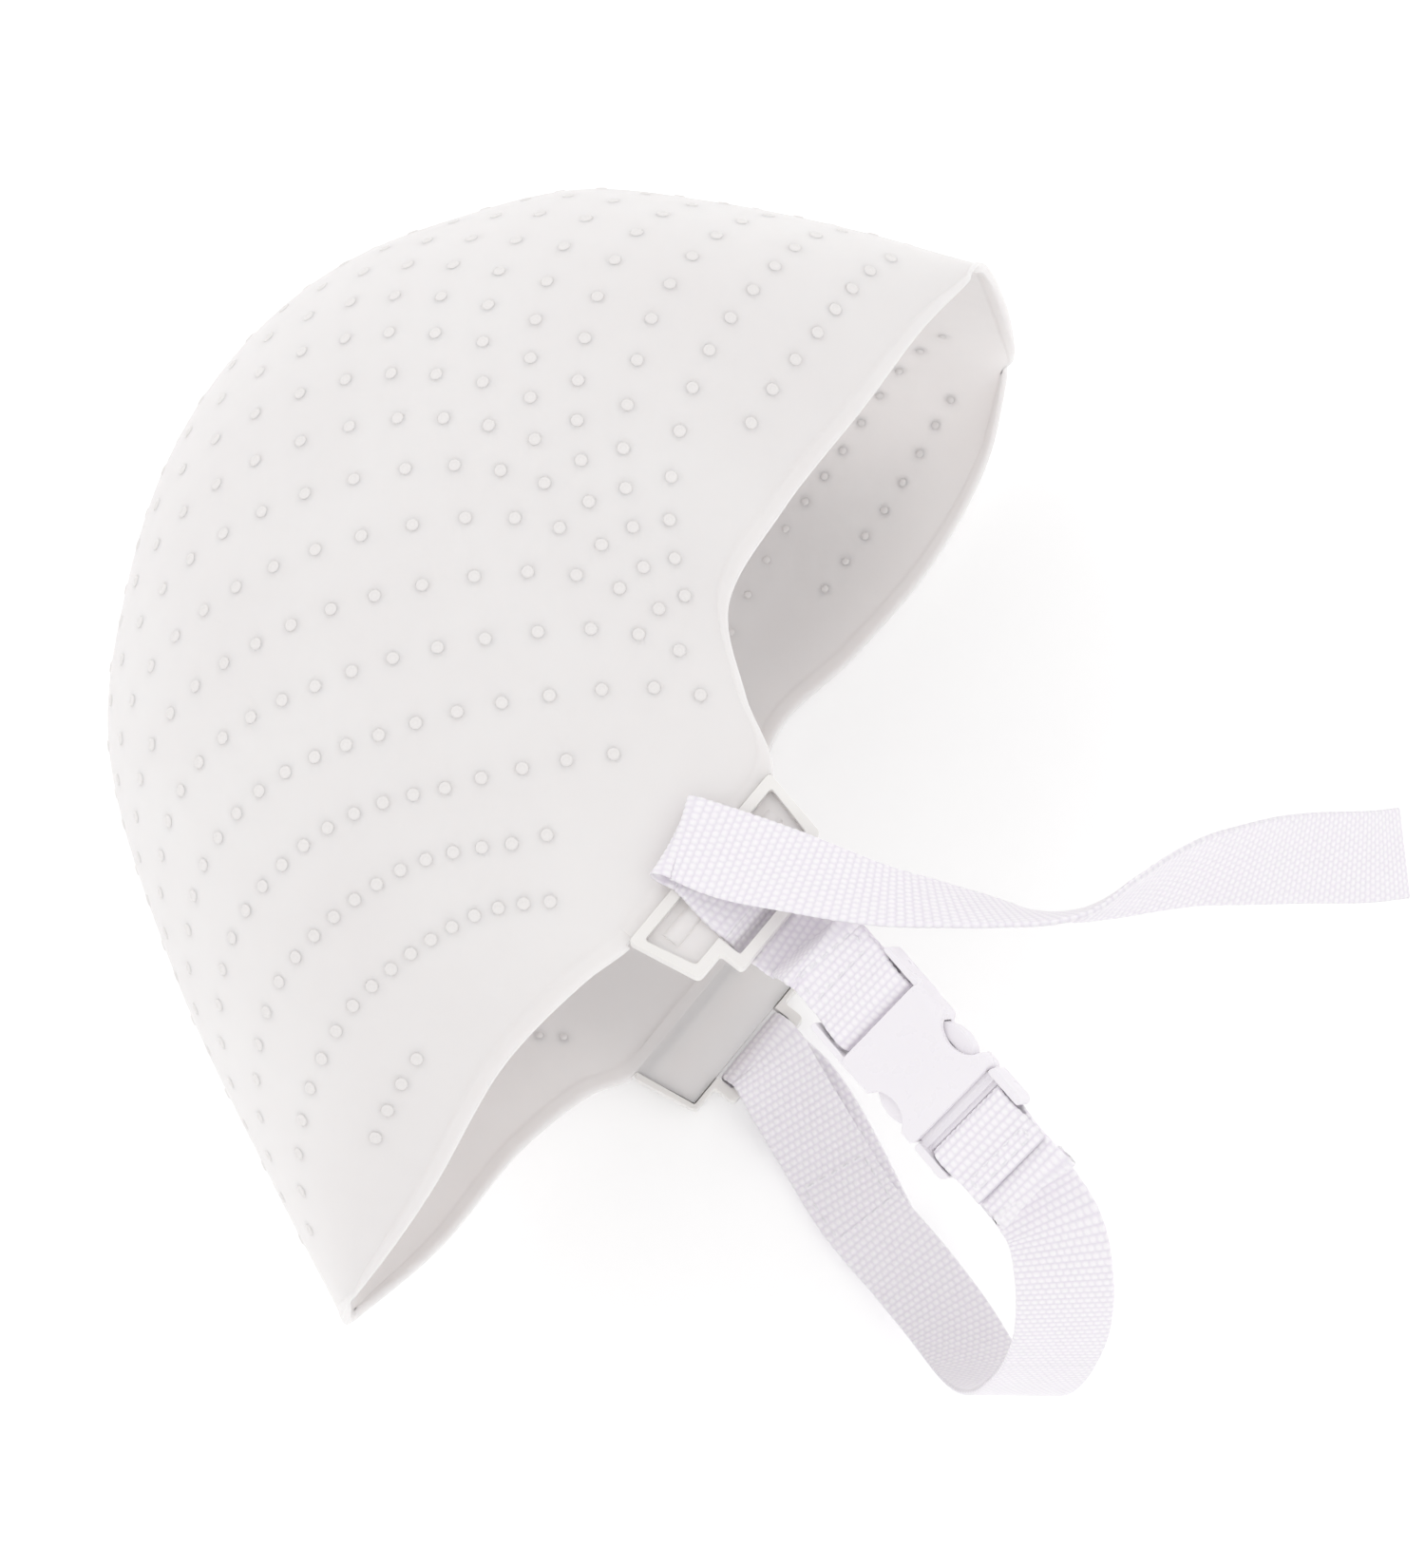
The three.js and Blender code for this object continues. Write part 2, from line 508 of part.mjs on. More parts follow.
function plugBase() {
  const flange = block([GAP, 1.8], [-bodyHalf, bodyHalf], [-2.4, 2.4]);
  const tongue = block([-2, 1], [-cavityHalf + GAP, cavityHalf - GAP], [-prongHeight, prongHeight]);
  const post = block([-16, 1], [-1.6, 1.6], [-prongHeight, prongHeight]);
  let body = flange.add(tongue).add(post);
  for (const side of [-1, 1]) {
    const wall = [side * (bodyHalf - 1.6), side * bodyHalf].sort((a, b) => a - b);
    const root = [side * (cavityHalf - 4), side * (cavityHalf + 1)].sort((a, b) => a - b);
    body = body.add(block([GAP, PLUG_LENGTH], wall, [-2.8, 2.8]))
      .subtract(block([-3, -1 + GAP], root, [-5, 5]));
  }
  return geometryOf(body.add(crossBar(PLUG_BAR, 0, BAR_RADIUS, bodyHalf - GAP)));
}

// One prong, with its pivot at the origin: an arm that reaches into the socket, with an ear in its window.
const prongPivot = [-1, cavityHalf - 1.6];
function prong(side) {
  const lane = 1.3;                        // pivot line to the straight part's outer face
  const ear = lane + GAP + PRONG_EAR;
  const outline = [
    [-0, -0.7], [-0, lane], [-3.1, lane], [-3.5, ear - 0.7], [-6, ear], [-9, ear], [-12.2, ear - 1.5],
    [-PRONG_LENGTH, -0.3], [-PRONG_LENGTH, -1.6], [-12.5, -0.6], [-9, 0.9], [-6, 0.5], [-3, -0.7],
  ];
  const points = outline.map(([x, y]) => [x, y * side]);
  return geometryOf(plate(side > 0 ? points : points.reverse(), -prongHeight, prongHeight));
}

// ---- stitching ----
// A box seam that holds a lap: a ring of thread on one face of the webbing, from one point of the lap's
// middle line to another, in the given matrix's axes. The face is its distance from that line along z.
function seam(matrix, start, end, face) {
  const half = start.distanceTo(end) / 2;
  const inset = WEBBING_WIDTH / 2 - SEAM_INSET;
  const level = start.z + face + Math.sign(face) * (GAP + THREAD / 2);
  const tall = [-THREAD / 2, THREAD / 2];
  const ring = block([-half, half], [-inset, inset], tall)
    .subtract(block([THREAD - half, half - THREAD], [THREAD - inset, inset - THREAD], tall.map((z) => 2 * z)));
  const place = new THREE.Matrix4().makeRotationZ(Math.atan2(end.y - start.y, end.x - start.x))
    .setPosition((start.x + end.x) / 2, (start.y + end.y) / 2, level).premultiply(matrix);
  return geometryOf(ring).applyMatrix4(place);
}

// ---- assembly ----
const model = new THREE.Group();
cap.add(named('cap_shell', capShell(), silicone));
for (const [name, matrix] of [['near_strap_frame', nearFrame], ['far_strap_frame', farFrame]]) {
  const frame = named(name, geometryOf(strapFrame()), frameWhite);
  matrix.decompose(frame.position, frame.quaternion, frame.scale);
  cap.add(frame);
}
buckle.add(named('buckle_socket', socketBody(), buckleWhite));
buckle.add(named('buckle_plug', plugBase(), buckleWhite));
for (const [name, side] of [['left_prong', 1], ['right_prong', -1]]) {
  const arm = named(name, prong(side), buckleWhite);
  arm.position.set(prongPivot[0], side * prongPivot[1], 0);
  buckle.add(arm);
}
model.add(named('front_strap', frontStrap(), webbing), named('back_strap', backStrap(), webbing));

// The seams lie where two layers run together: two in the buckle's axes, one in the far frame's.
const lapFace = layer + WEBBING_THICK / 2;
const onBar = (x) => new THREE.Vector3(x, 0, 0);
const frontSeam = seam(new THREE.Matrix4(), onBar(socketBar - LAP_BUCKLE + SEAM_INSET + THREAD),
  onBar(-BODY_LENGTH - RAIL_LENGTH - 1.5), lapFace);
const plugSeam = seam(new THREE.Matrix4(), onBar(PLUG_LENGTH + 1.5),
  onBar(PLUG_BAR + LAP_BUCKLE - SEAM_INSET), lapFace);
const farSeam = seam(farWorld, new THREE.Vector3(9.8, -frameDepth - 28, 3.3),
  new THREE.Vector3(14.5, -frameDepth - 41, 3.3), -WEBBING_THICK / 2);
buckle.add(named('front_lap_seam', frontSeam, thread), named('plug_lap_seam', plugSeam, thread));
model.add(cap, buckle, named('far_lap_seam', farSeam, thread));

export default model;
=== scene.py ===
"""Looks of the highlighting cap: fine silicone skin, moulded frames, woven straps and a side-release buckle.

Lengths in the tables below are millimetres, as in the part's own drawing; every Blender object is in metres.
"""

import math

import bmesh
import bpy
import numpy as np
from mathutils import Matrix, Vector


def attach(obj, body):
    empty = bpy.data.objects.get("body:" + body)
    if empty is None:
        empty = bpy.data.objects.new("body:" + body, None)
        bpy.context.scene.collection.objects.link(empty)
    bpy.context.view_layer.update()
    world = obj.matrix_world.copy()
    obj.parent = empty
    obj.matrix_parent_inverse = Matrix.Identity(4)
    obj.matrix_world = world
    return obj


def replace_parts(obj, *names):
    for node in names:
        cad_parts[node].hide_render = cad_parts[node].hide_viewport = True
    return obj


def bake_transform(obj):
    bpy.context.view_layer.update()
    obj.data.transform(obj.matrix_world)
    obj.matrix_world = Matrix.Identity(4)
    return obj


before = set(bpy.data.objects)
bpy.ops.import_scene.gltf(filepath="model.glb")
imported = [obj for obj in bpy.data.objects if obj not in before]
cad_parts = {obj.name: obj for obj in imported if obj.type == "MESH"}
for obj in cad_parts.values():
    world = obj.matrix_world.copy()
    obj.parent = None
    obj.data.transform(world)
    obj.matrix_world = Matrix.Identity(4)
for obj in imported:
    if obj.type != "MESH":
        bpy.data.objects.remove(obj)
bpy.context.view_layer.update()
MM = 0.001

# ---- camera, lights and floor ----
# Metres here, as everywhere outside the drawing's own tables.
CAMERA_TARGET = Vector((0.0464, -0.0109, 0.073))
CAMERA_DISTANCE = 1.1
CAMERA_ELEVATION = math.radians(77)
VIEW_HEIGHT = 0.3465           # height of the view at the target
SENSOR = 36.0                  # millimetres
CLIP_START, CLIP_END = 0.01, 20
WORLD_STRENGTH = 0.94
FLOOR_SIZE, FLOOR_GLOW = 12, 0.2
# name, place, diameter and watts
LAMPS = [("key", (-0.55, 0.75, 1.3), 0.7, 1.6), ("fill", (0.9, -0.5, 1.2), 1.2, 0.8)]


def add_camera():
    data = bpy.data.cameras.new("camera")
    data.sensor_width = SENSOR
    data.lens = SENSOR * CAMERA_DISTANCE / VIEW_HEIGHT
    data.clip_start = CLIP_START
    data.clip_end = CLIP_END
    camera = bpy.data.objects.new("camera", data)
    bpy.context.scene.collection.objects.link(camera)
    back = Vector((0, -math.cos(CAMERA_ELEVATION), math.sin(CAMERA_ELEVATION)))
    camera.location = CAMERA_TARGET + back * CAMERA_DISTANCE
    camera.rotation_euler = back.to_track_quat("Z", "Y").to_euler()
    bpy.context.scene.camera = camera


def add_area_light(name, location, size, watts):
    data = bpy.data.lights.new(name, "AREA")
    data.shape = "DISK"
    data.size = size
    data.energy = watts
    light = bpy.data.objects.new(name, data)
    light.location = location
    light.rotation_euler = (Vector(location) - CAMERA_TARGET).to_track_quat("Z", "Y").to_euler()
    bpy.context.scene.collection.objects.link(light)


def add_studio():
    world = bpy.data.worlds.new("studio")
    world.use_nodes = True
    background = world.node_tree.nodes["Background"]
    background.inputs["Color"].default_value = (1, 1, 1, 1)
    background.inputs["Strength"].default_value = WORLD_STRENGTH
    bpy.context.scene.world = world
    bpy.context.scene.view_settings.view_transform = "Standard"
    for lamp in LAMPS:
        add_area_light(*lamp)
    bpy.ops.mesh.primitive_plane_add(size=FLOOR_SIZE, location=(0, 0, 0))
    floor = bpy.context.object
    floor.name = "floor"
    return floor


# ---- material nodes ----
class Nodes:
    """A Principled material, and the few procedural nodes that the materials here are built from."""

    def __init__(self, name, roughness, **constants):
        self.material = bpy.data.materials.new(name)
        self.material.use_nodes = True
        self.tree = self.material.node_tree
        self.shader = self.tree.nodes["Principled BSDF"]
        self.shader.inputs["Roughness"].default_value = roughness
        for socket, value in constants.items():
            self.shader.inputs[socket.replace("_", " ")].default_value = value

    def add(self, kind, **settings):
        node = self.tree.nodes.new(kind)
        for key, value in settings.items():
            if key in node.inputs:
                node.inputs[key].default_value = value
            else:
                setattr(node, key, value)
        return node

    def link(self, source, target):
        self.tree.links.new(source, target)

    def noise(self, vector, scale, detail=3.0):
        node = self.add("ShaderNodeTexNoise", Scale=scale, Detail=detail)
        self.link(vector, node.inputs["Vector"])
        return node.outputs["Fac"]

    def between(self, factor, low, high, start=0.3, end=0.7):
        """A colour that runs from low to high as the factor goes from start to end."""
        ramp = self.add("ShaderNodeValToRGB")
        ramp.color_ramp.elements[0].position = start
        ramp.color_ramp.elements[1].position = end
        ramp.color_ramp.elements[0].color = (*low, 1)
        ramp.color_ramp.elements[1].color = (*high, 1)
        self.link(factor, ramp.inputs["Fac"])
        return ramp.outputs["Color"]

    def colour(self, factor, low, high, start=0.3, end=0.7):
        self.link(self.between(factor, low, high, start, end), self.shader.inputs["Base Color"])

    def roughness(self, factor, low, high):
        grey = self.between(factor, (low,) * 3, (high,) * 3)
        self.link(grey, self.shader.inputs["Roughness"])

    def bump(self, height, strength, distance, under=None):
        node = self.add("ShaderNodeBump", Strength=strength, Distance=distance)
        self.link(height, node.inputs["Height"])
        if under is not None:
            self.link(under, node.inputs["Normal"])
        self.link(node.outputs["Normal"], self.shader.inputs["Normal"])
        return node.outputs["Normal"]

    def object_vector(self):
        return self.add("ShaderNodeTexCoord").outputs["Object"]

    def uv_vector(self):
        return self.add("ShaderNodeTexCoord").outputs["UV"]


def silicone_material(name, milkiness, low, high):
    """Matt, milky rubber: light wanders about 6 mm under its skin."""
    made = Nodes(name, 0.45, IOR=1.41, Subsurface_Weight=milkiness, Subsurface_Scale=1.0,
                 Subsurface_Radius=(0.006, 0.0057, 0.0055), Specular_IOR_Level=0.45)
    where = made.object_vector()
    made.colour(made.noise(where, 22), low, high)
    made.roughness(made.noise(where, 160), 0.42, 0.58)
    broad = made.bump(made.noise(where, 45, 2), 0.25, 0.0006)
    made.bump(made.noise(where, 1500, 4), 0.12, 0.0001, broad)
    return made.material


def plastic_material(name, low, high, roughness, grain):
    made = Nodes(name, roughness, Subsurface_Weight=0.12, Subsurface_Radius=(0.002, 0.002, 0.0018))
    where = made.object_vector()
    made.colour(made.noise(where, 60), low, high)
    made.roughness(made.noise(where, 300), roughness - 0.06, roughness + 0.08)
    flow = made.bump(made.noise(where, 120, 2), 0.05, 0.0001)
    made.bump(made.noise(where, 2600, 3), grain, 0.00005, flow)
    return made.material


def webbing_material():
    """Filaments along each yarn, on top of the modelled weave, and painted shade in its valleys; UVs are metres
    along and across the strap.
    """
    made = Nodes("woven_webbing", 0.78, Sheen_Weight=0.25, Sheen_Roughness=0.45,
                 Subsurface_Weight=0.15, Subsurface_Radius=(0.0012, 0.001, 0.0012))
    where = made.uv_vector()
    # The colour runs from the dark low colour in the weave's valleys to the light one on the yarn crowns:
    # painted shade between the yarns, mixed with a random fleck of tone.
    yarn = made.add("ShaderNodeAttribute", attribute_name="yarn").outputs["Fac"]
    fleck_and_weave_shade = made.add("ShaderNodeMath", operation="MULTIPLY_ADD")
    made.link(made.noise(where, 900, 2), fleck_and_weave_shade.inputs[0])
    fleck_and_weave_shade.inputs[1].default_value = 0.35
    made.link(yarn, fleck_and_weave_shade.inputs[2])
    made.colour(fleck_and_weave_shade.outputs["Value"], (0.83, 0.785, 0.86), (0.98, 0.95, 0.985), 0.1, 0.95)
    filament = made.add("ShaderNodeTexWave", bands_direction="Y", Scale=1300, Distortion=3.0)
    made.link(where, filament.inputs["Vector"])
    made.bump(filament.outputs["Fac"], 0.35, 0.00008)
    return made.material


def thread_material():
    made = Nodes("sewing_thread", 0.6, Sheen_Weight=0.2)
    where = made.object_vector()
    made.colour(made.noise(where, 2500), (0.82, 0.80, 0.84), (0.93, 0.91, 0.94))
    twist = made.add("ShaderNodeTexWave", bands_direction="DIAGONAL", Scale=1800, Distortion=1.0)
    made.link(where, twist.inputs["Vector"])
    made.bump(twist.outputs["Fac"], 0.4, 0.00006)
    return made.material


def floor_material():
    made = Nodes("light_table", 0.9, Emission_Color=(1, 1, 1, 1), Emission_Strength=FLOOR_GLOW)
    made.colour(made.noise(made.object_vector(), 3), (0.93, 0.93, 0.93), (0.95, 0.95, 0.95))
    return made.material


# ---- meshes ----
def shade_smooth(mesh, up_to_angle=None):
    mesh.polygons.foreach_set("use_smooth", [True] * len(mesh.polygons))
    if up_to_angle is not None:
        mesh.set_sharp_from_angle(angle=math.radians(up_to_angle))


def new_piece(name, verts, faces, material=None, smooth_angle=None, uvs=None, yarn=None):
    """A mesh object from millimetre points; smooth_angle in degrees shades smooth up to that angle."""
    mesh = bpy.data.meshes.new(name)
    mesh.from_pydata((np.asarray(verts) * MM).tolist(), [], faces)
    mesh.validate()
    if uvs is not None:
        layer = mesh.uv_layers.new(name="strap")
        corner = np.zeros(len(mesh.loops), np.int32)
        mesh.loops.foreach_get("vertex_index", corner)
        layer.data.foreach_set("uv", (np.asarray(uvs)[corner] * MM).astype(np.float32).ravel())
    if yarn is not None:
        mesh.attributes.new("yarn", "FLOAT", "POINT").data.foreach_set("value", yarn.astype(np.float32))
    mesh.materials.append(material)
    shade_smooth(mesh, smooth_angle)
    piece = bpy.data.objects.new(name, mesh)
    bpy.context.scene.collection.objects.link(piece)
    return piece


def applied(piece):
    """Bakes a piece's modifiers into its mesh."""
    graph = bpy.context.evaluated_depsgraph_get()
    mesh = bpy.data.meshes.new_from_object(piece.evaluated_get(graph))
    piece.modifiers.clear()
    piece.data = mesh
    return piece


def spline(points, t):
    """Points of the drawing's centripetal Catmull-Rom curve; t runs from 0 to 1 over its points."""
    points = np.asarray(points, float)
    last = len(points) - 1
    t = np.clip(np.asarray(t, float), 0, 1) * last
    i = np.minimum(t.astype(int), last - 1)
    weight = (t - i)[..., None]
    padded = np.vstack([2 * points[0] - points[1], points, 2 * points[-1] - points[-2]])
    x0, x1, x2, x3 = (padded[i + k] for k in range(4))

    def knot(a, b):
        return np.maximum(np.sum((b - a) ** 2, axis=-1, keepdims=True) ** 0.25, 1e-4)

    d0, d1, d2 = knot(x0, x1), knot(x1, x2), knot(x2, x3)
    t1 = ((x1 - x0) / d0 - (x2 - x0) / (d0 + d1) + (x2 - x1) / d1) * d1
    t2 = ((x2 - x1) / d1 - (x3 - x1) / (d1 + d2) + (x3 - x2) / d2) * d1
    return (x1 + t1 * weight + (-3 * x1 + 3 * x2 - 2 * t1 - t2) * weight ** 2
            + (2 * x1 - 2 * x2 + t1 + t2) * weight ** 3)


def unit(vectors):
    return vectors / np.maximum(np.linalg.norm(vectors, axis=-1, keepdims=True), 1e-12)


# ---- the cap's skin; its own axes run along the opening, towards the crown and out of the middle plane ----
CAP_LENGTH, CAP_DEPTH, CAP_HALF_WIDTH, SKIN, REST_SAG = 280, 134, 76, 1.6, 3
CROWN_LINE = [
    [0, 0, 0], [18, 30, 0], [44, 70, 0], [80, 110.5, 0], [113, 126.5, 0], [142, 134, 0], [170, 134, 0],
    [198, 125, 0], [222.5, 107, 0], [242.5, 85, 0], [254.5, 55.5, 0], [265, 25, 0], [273, -5, 0],
]
NEAR_RIM = [
    [5, -1, 11], [29, -6, 40], [58, -7, 56], [80, -13, 64], [92, -18, 67], [114, -21.3, 68], [137, -24.5, 68],
    [149, -11, 69], [164, 2, 69], [188, 3, 68], [218, 0.5, 63], [241, -0.5, 56], [262, -3, 44],
]
FAR_RIM = [
    [3, -1, -13], [28, -5, -39], [57, -7, -55], [77, -13, -63], [87, -19.5, -66.5], [109, -23, -67],
    [132, -26, -67], [152, -15, -68], [174, -5.5, -69], [200, -11.5, -69], [228, -16, -67], [256, -15, -62],
    [277, -8.5, -49],
]
BULGE, FULLNESS, TAB_STATION = 13.5, 0.92, 5
CHORD_ANGLE = math.radians(59)
REST_U, REST_V = 0.457, 0.2835
REST_LEVEL = REST_SAG - CAP_HALF_WIDTH
BEAD = 0.28                    # how far the rim's bead stands proud of each face
BEAD_WIDTH = 2.0
BEAD_STEPS = np.array([0, 0.3, 0.6, 0.9, 1.2, 1.45, 1.7, 1.9, 2.1, 2.6])
SKIN_ROWS, SKIN_COLUMNS = 150, 150
NAPE_RUN, BROW_RUN = 430, 300  # millimetres of skin for s from 0 to 1, near each end
CORNER_TRIM = 0.014            # how much of the rim the brow's rounded corners take off
EDGE_SAMPLES = 40
ROUND_EDGE = [math.radians(a) for a in (30, 60, 90, 120, 150)]
ROUND_END = [math.radians(a) for a in (30, 60, 82)]

cap_matrix = Matrix.Rotation(CHORD_ANGLE, 4, "Z")
cap_matrix.translation = -(cap_matrix @ Vector((REST_U * CAP_LENGTH, REST_V * CAP_DEPTH, REST_LEVEL)))


def skin(s, t):
    """The skin's outer face: s is 0 at the nape and 1 at the brow, t is -1 at the far rim and 1 at the near."""
    crown, near, far = spline(CROWN_LINE, s), spline(NEAR_RIM, s), spline(FAR_RIM, s)
    middle = (near + far) / 2
    rim = np.where(t[..., None] < 0, far, near)
    q = np.abs(t)
    side = np.sin(q * np.pi / 2) ** FULLNESS
    rise = np.maximum(0, np.cos(q * np.pi / 2)) ** FULLNESS
    swell = BULGE * np.maximum(0, np.sin(np.pi * s)) ** 0.7 * np.sin(np.pi * q ** 1.3)
    point = middle + (rim - middle) * side[..., None] + (crown - middle) * rise[..., None]
    point[..., 2] += np.sign(t) * swell
    return point


def skin_frame(s, t):
    """Unit vectors of the skin at (s, t): towards the brow, towards the near rim, and inwards."""
    step = 1e-3
    along = skin(np.minimum(1, s + step), t) - skin(np.maximum(0, s - step), t)
    across = skin(s, np.minimum(1, t + step)) - skin(s, np.maximum(-1, t - step))
    return unit(along), unit(across), unit(np.cross(along, across))


def to_world(points, matrix=cap_matrix):
    flat = np.asarray(points, float).reshape(-1, 3)
    m = np.array(matrix)
    return (flat @ m[:3, :3].T + m[:3, 3]).reshape(np.shape(points))


def round_edge(outer, inner, outward, angles):
    """Points of a half round that joins two faces, bulging outward."""
    middle, half = (outer + inner) / 2, (outer - inner) / 2
    reach = np.linalg.norm(half, axis=-1, keepdims=True) * outward
    return [middle + half * math.cos(a) + reach * math.sin(a) for a in angles]


def skin_parameters():
    """Rows of (s, t), close together at the edges so that the bead is smooth, and the bead at each point."""
    s = np.concatenate([
        BEAD_STEPS / NAPE_RUN,
        np.linspace(BEAD_STEPS[-1] / NAPE_RUN, 1 - BEAD_STEPS[-1] / BROW_RUN, SKIN_ROWS)[1:-1],
        1 - BEAD_STEPS[::-1] / BROW_RUN,
    ])
    coarse = np.linspace(0, 1, EDGE_SAMPLES)
    rows, beads = [], []
    for value in s:
        edge = []
        for sign in (-1, 1):
            line = skin(np.full(EDGE_SAMPLES, value), sign * coarse)
            edge.append(BEAD_STEPS / np.linalg.norm(np.diff(line, axis=0), axis=1).sum())
        low = -1 + edge[0]
        high = 1 - edge[1][::-1]
        t = np.concatenate([low, np.linspace(low[-1], high[0], SKIN_COLUMNS)[1:-1], high])
        rows.append(t)
        rim_gap = np.full(len(t), np.inf)
        rim_gap[:len(BEAD_STEPS)] = BEAD_STEPS
        rim_gap[-len(BEAD_STEPS):] = BEAD_STEPS[::-1]
        rim_gap = np.minimum(rim_gap, min(value * NAPE_RUN, (1 - value) * BROW_RUN))
        inside = np.clip(1 - ((rim_gap - BEAD_WIDTH / 2) / (BEAD_WIDTH / 2)) ** 2, 0, 1)
        beads.append(BEAD * np.where(rim_gap < BEAD_WIDTH / 2, 1, np.sqrt(inside)))
    t = np.array(rows)
    rounding = 1 - CORNER_TRIM * np.abs(t) ** 8 * s[:, None] ** 4
    return s[:, None] * rounding, t, np.array(beads)[..., None]


def skin_mesh():
    s, t, bead = skin_parameters()
    along, across, inward = skin_frame(s, t)
    surface = skin(s, t)
    outer = surface - inward * bead
    inner = surface + inward * (SKIN + bead)
    outer[..., 2] = np.maximum(outer[..., 2], REST_LEVEL)
    inner[..., 2] = np.maximum(inner[..., 2], REST_LEVEL + SKIN)

    def loop(row_outer, row_inner, row_across):
        near = round_edge(row_outer[-1], row_inner[-1], row_across[-1], ROUND_EDGE)
        far = round_edge(row_inner[0], row_outer[0], -row_across[0], ROUND_EDGE)
        return np.vstack([row_outer, near, row_inner[::-1], far])

    rows = [loop(outer[i], inner[i], across[i]) for i in range(len(s))]
    for end, sign in ((0, -1), (-1, 1)):
        for angle in ROUND_END:
            pair = round_edge(outer[end], inner[end], sign * along[end], [angle, np.pi - angle])
            row = loop(*pair, across[end])
            rows = [row, *rows] if end == 0 else [*rows, row]
    count, columns, arc = len(rows[0]), outer.shape[1], len(ROUND_EDGE)
    faces = []
    for i in range(len(rows) - 1):
        for j in range(count):
            k = (j + 1) % count
            faces.append((i * count + j, i * count + k, (i + 1) * count + k, (i + 1) * count + j))
    for first, flip in ((0, False), ((len(rows) - 1) * count, True)):
        # the end strips join the two faces, and a fan closes each half-round edge
        top = [first + j for j in range(columns)]
        bottom = [first + columns + arc + columns - 1 - j for j in range(columns)]
        strips = [(top[j], bottom[j], bottom[j + 1], top[j + 1]) for j in range(columns - 1)]
        near_arc = range(first + columns, first + columns + arc)
        far_arc = range(first + 2 * columns + arc, first + count)
        strips.append((top[-1], *near_arc, bottom[-1])[::-1])
        strips.append((bottom[0], *far_arc, top[0])[::-1])
        faces += [face[::-1] if flip else face for face in strips]
    return to_world(np.vstack(rows)), faces


# ---- strap frames and ear tabs; x runs along the cap-side edge, y towards the cap, z out of the skin ----
EDGE_WIDTH, SHOULDER_WIDTH, SHOULDER_DEPTH, BAR_BLOCK_DEPTH = 46, 39.6, 16.3, 5.6
FRAME_RIM, RIM_HEIGHT, LIP = 2.4, 2.6, 1.2
RIDGE_WIDTH, RIDGE_HEIGHT, RIDGE_DEPTH = 4, 1.2, 6.4
TAB_ROOT = 3                   # how far the tab runs into the skin
GAP = 0.3
FRAME_DEPTH = SHOULDER_DEPTH + BAR_BLOCK_DEPTH
BAR_INNER = FRAME_DEPTH - FRAME_RIM
TAB_DEPTH = SHOULDER_DEPTH - FRAME_RIM + LIP - GAP
FRAME_TAPER = (EDGE_WIDTH - SHOULDER_WIDTH) / 2 / SHOULDER_DEPTH


def frame_matrix(rim, side):
    last = len(rim) - 1
    before, at, after = spline(rim, np.array([TAB_STATION - 1, TAB_STATION, TAB_STATION + 1]) / last)
    x = side * unit(np.array([after[0] - before[0], after[1] - before[1], 0]))
    z = np.array([0, 0, side])
    frame_axes = Matrix(np.column_stack([x, np.cross(z, x), z]).tolist()).to_4x4()
    frame_axes.translation = at
    return cap_matrix @ frame_axes


near_matrix = frame_matrix(NEAR_RIM, 1)
far_matrix = frame_matrix(FAR_RIM, -1)
near_edge = np.array(near_matrix.translation)
far_edge = np.array(far_matrix.translation)


def prism(outline, low, high):
    """Vertices and faces of a flat outline, anticlockwise, carried from one z to another."""
    count = len(outline)
    verts = [(x, y, z) for z in (low, high) for x, y in outline]
    faces = [tuple(range(count))[::-1], tuple(range(count, 2 * count))]
    faces += [(j, (j + 1) % count, count + (j + 1) % count, count + j) for j in range(count)]
    return verts, faces


def ear_tab(matrix):
    """The tab's trapezium, rooted in the skin, with its half-round ridge."""
    wide = EDGE_WIDTH / 2 - FRAME_RIM + LIP - GAP
    low = wide - FRAME_TAPER * TAB_DEPTH
    outline = [
        (-low, -TAB_DEPTH), (low, -TAB_DEPTH), (wide, 0),
        (wide, TAB_ROOT), (-wide, TAB_ROOT), (-wide, 0),
    ]
    plate = new_piece("tab_plate", *placed(matrix, prism(outline, -SKIN, 0)), silicone)
    half = SHOULDER_WIDTH / 2 - FRAME_RIM - GAP
    steps = [math.radians(a) for a in range(0, 181, 15)]
    profile = [(RIDGE_WIDTH / 2 * math.cos(a), RIDGE_HEIGHT * math.sin(a)) for a in steps]
    section = [(RIDGE_WIDTH / 2, -SKIN / 2), *profile, (-RIDGE_WIDTH / 2, -SKIN / 2)]
    count = len(section)
    verts = [(x, y - RIDGE_DEPTH, z) for x in (-half, half) for y, z in section]
    faces = [tuple(range(count)), tuple(range(count, 2 * count))[::-1]]
    faces += [(count + j, count + (j + 1) % count, (j + 1) % count, j) for j in range(count)]
    ridge = new_piece("tab_ridge", *placed(matrix, (verts, faces)), silicone)
    return [plate, ridge]


def placed(matrix, shape):
    """A shape in a part's own axes, moved to the world's."""
    verts, faces = shape
    return to_world(np.array(verts, float), matrix), faces


def cut(piece, tool, operation):
    """Joins or cuts two solids with Blender's boolean, and removes the tool."""
    for one in (piece, tool):
        work = bmesh.new()
        work.from_mesh(one.data)
        bmesh.ops.recalc_face_normals(work, faces=work.faces)
        work.to_mesh(one.data)
        work.free()
    modifier = piece.modifiers.new("join", "BOOLEAN")
    modifier.operation = operation
    modifier.object = tool
    modifier.solver = "EXACT"
    applied(piece)
    bpy.data.objects.remove(tool)


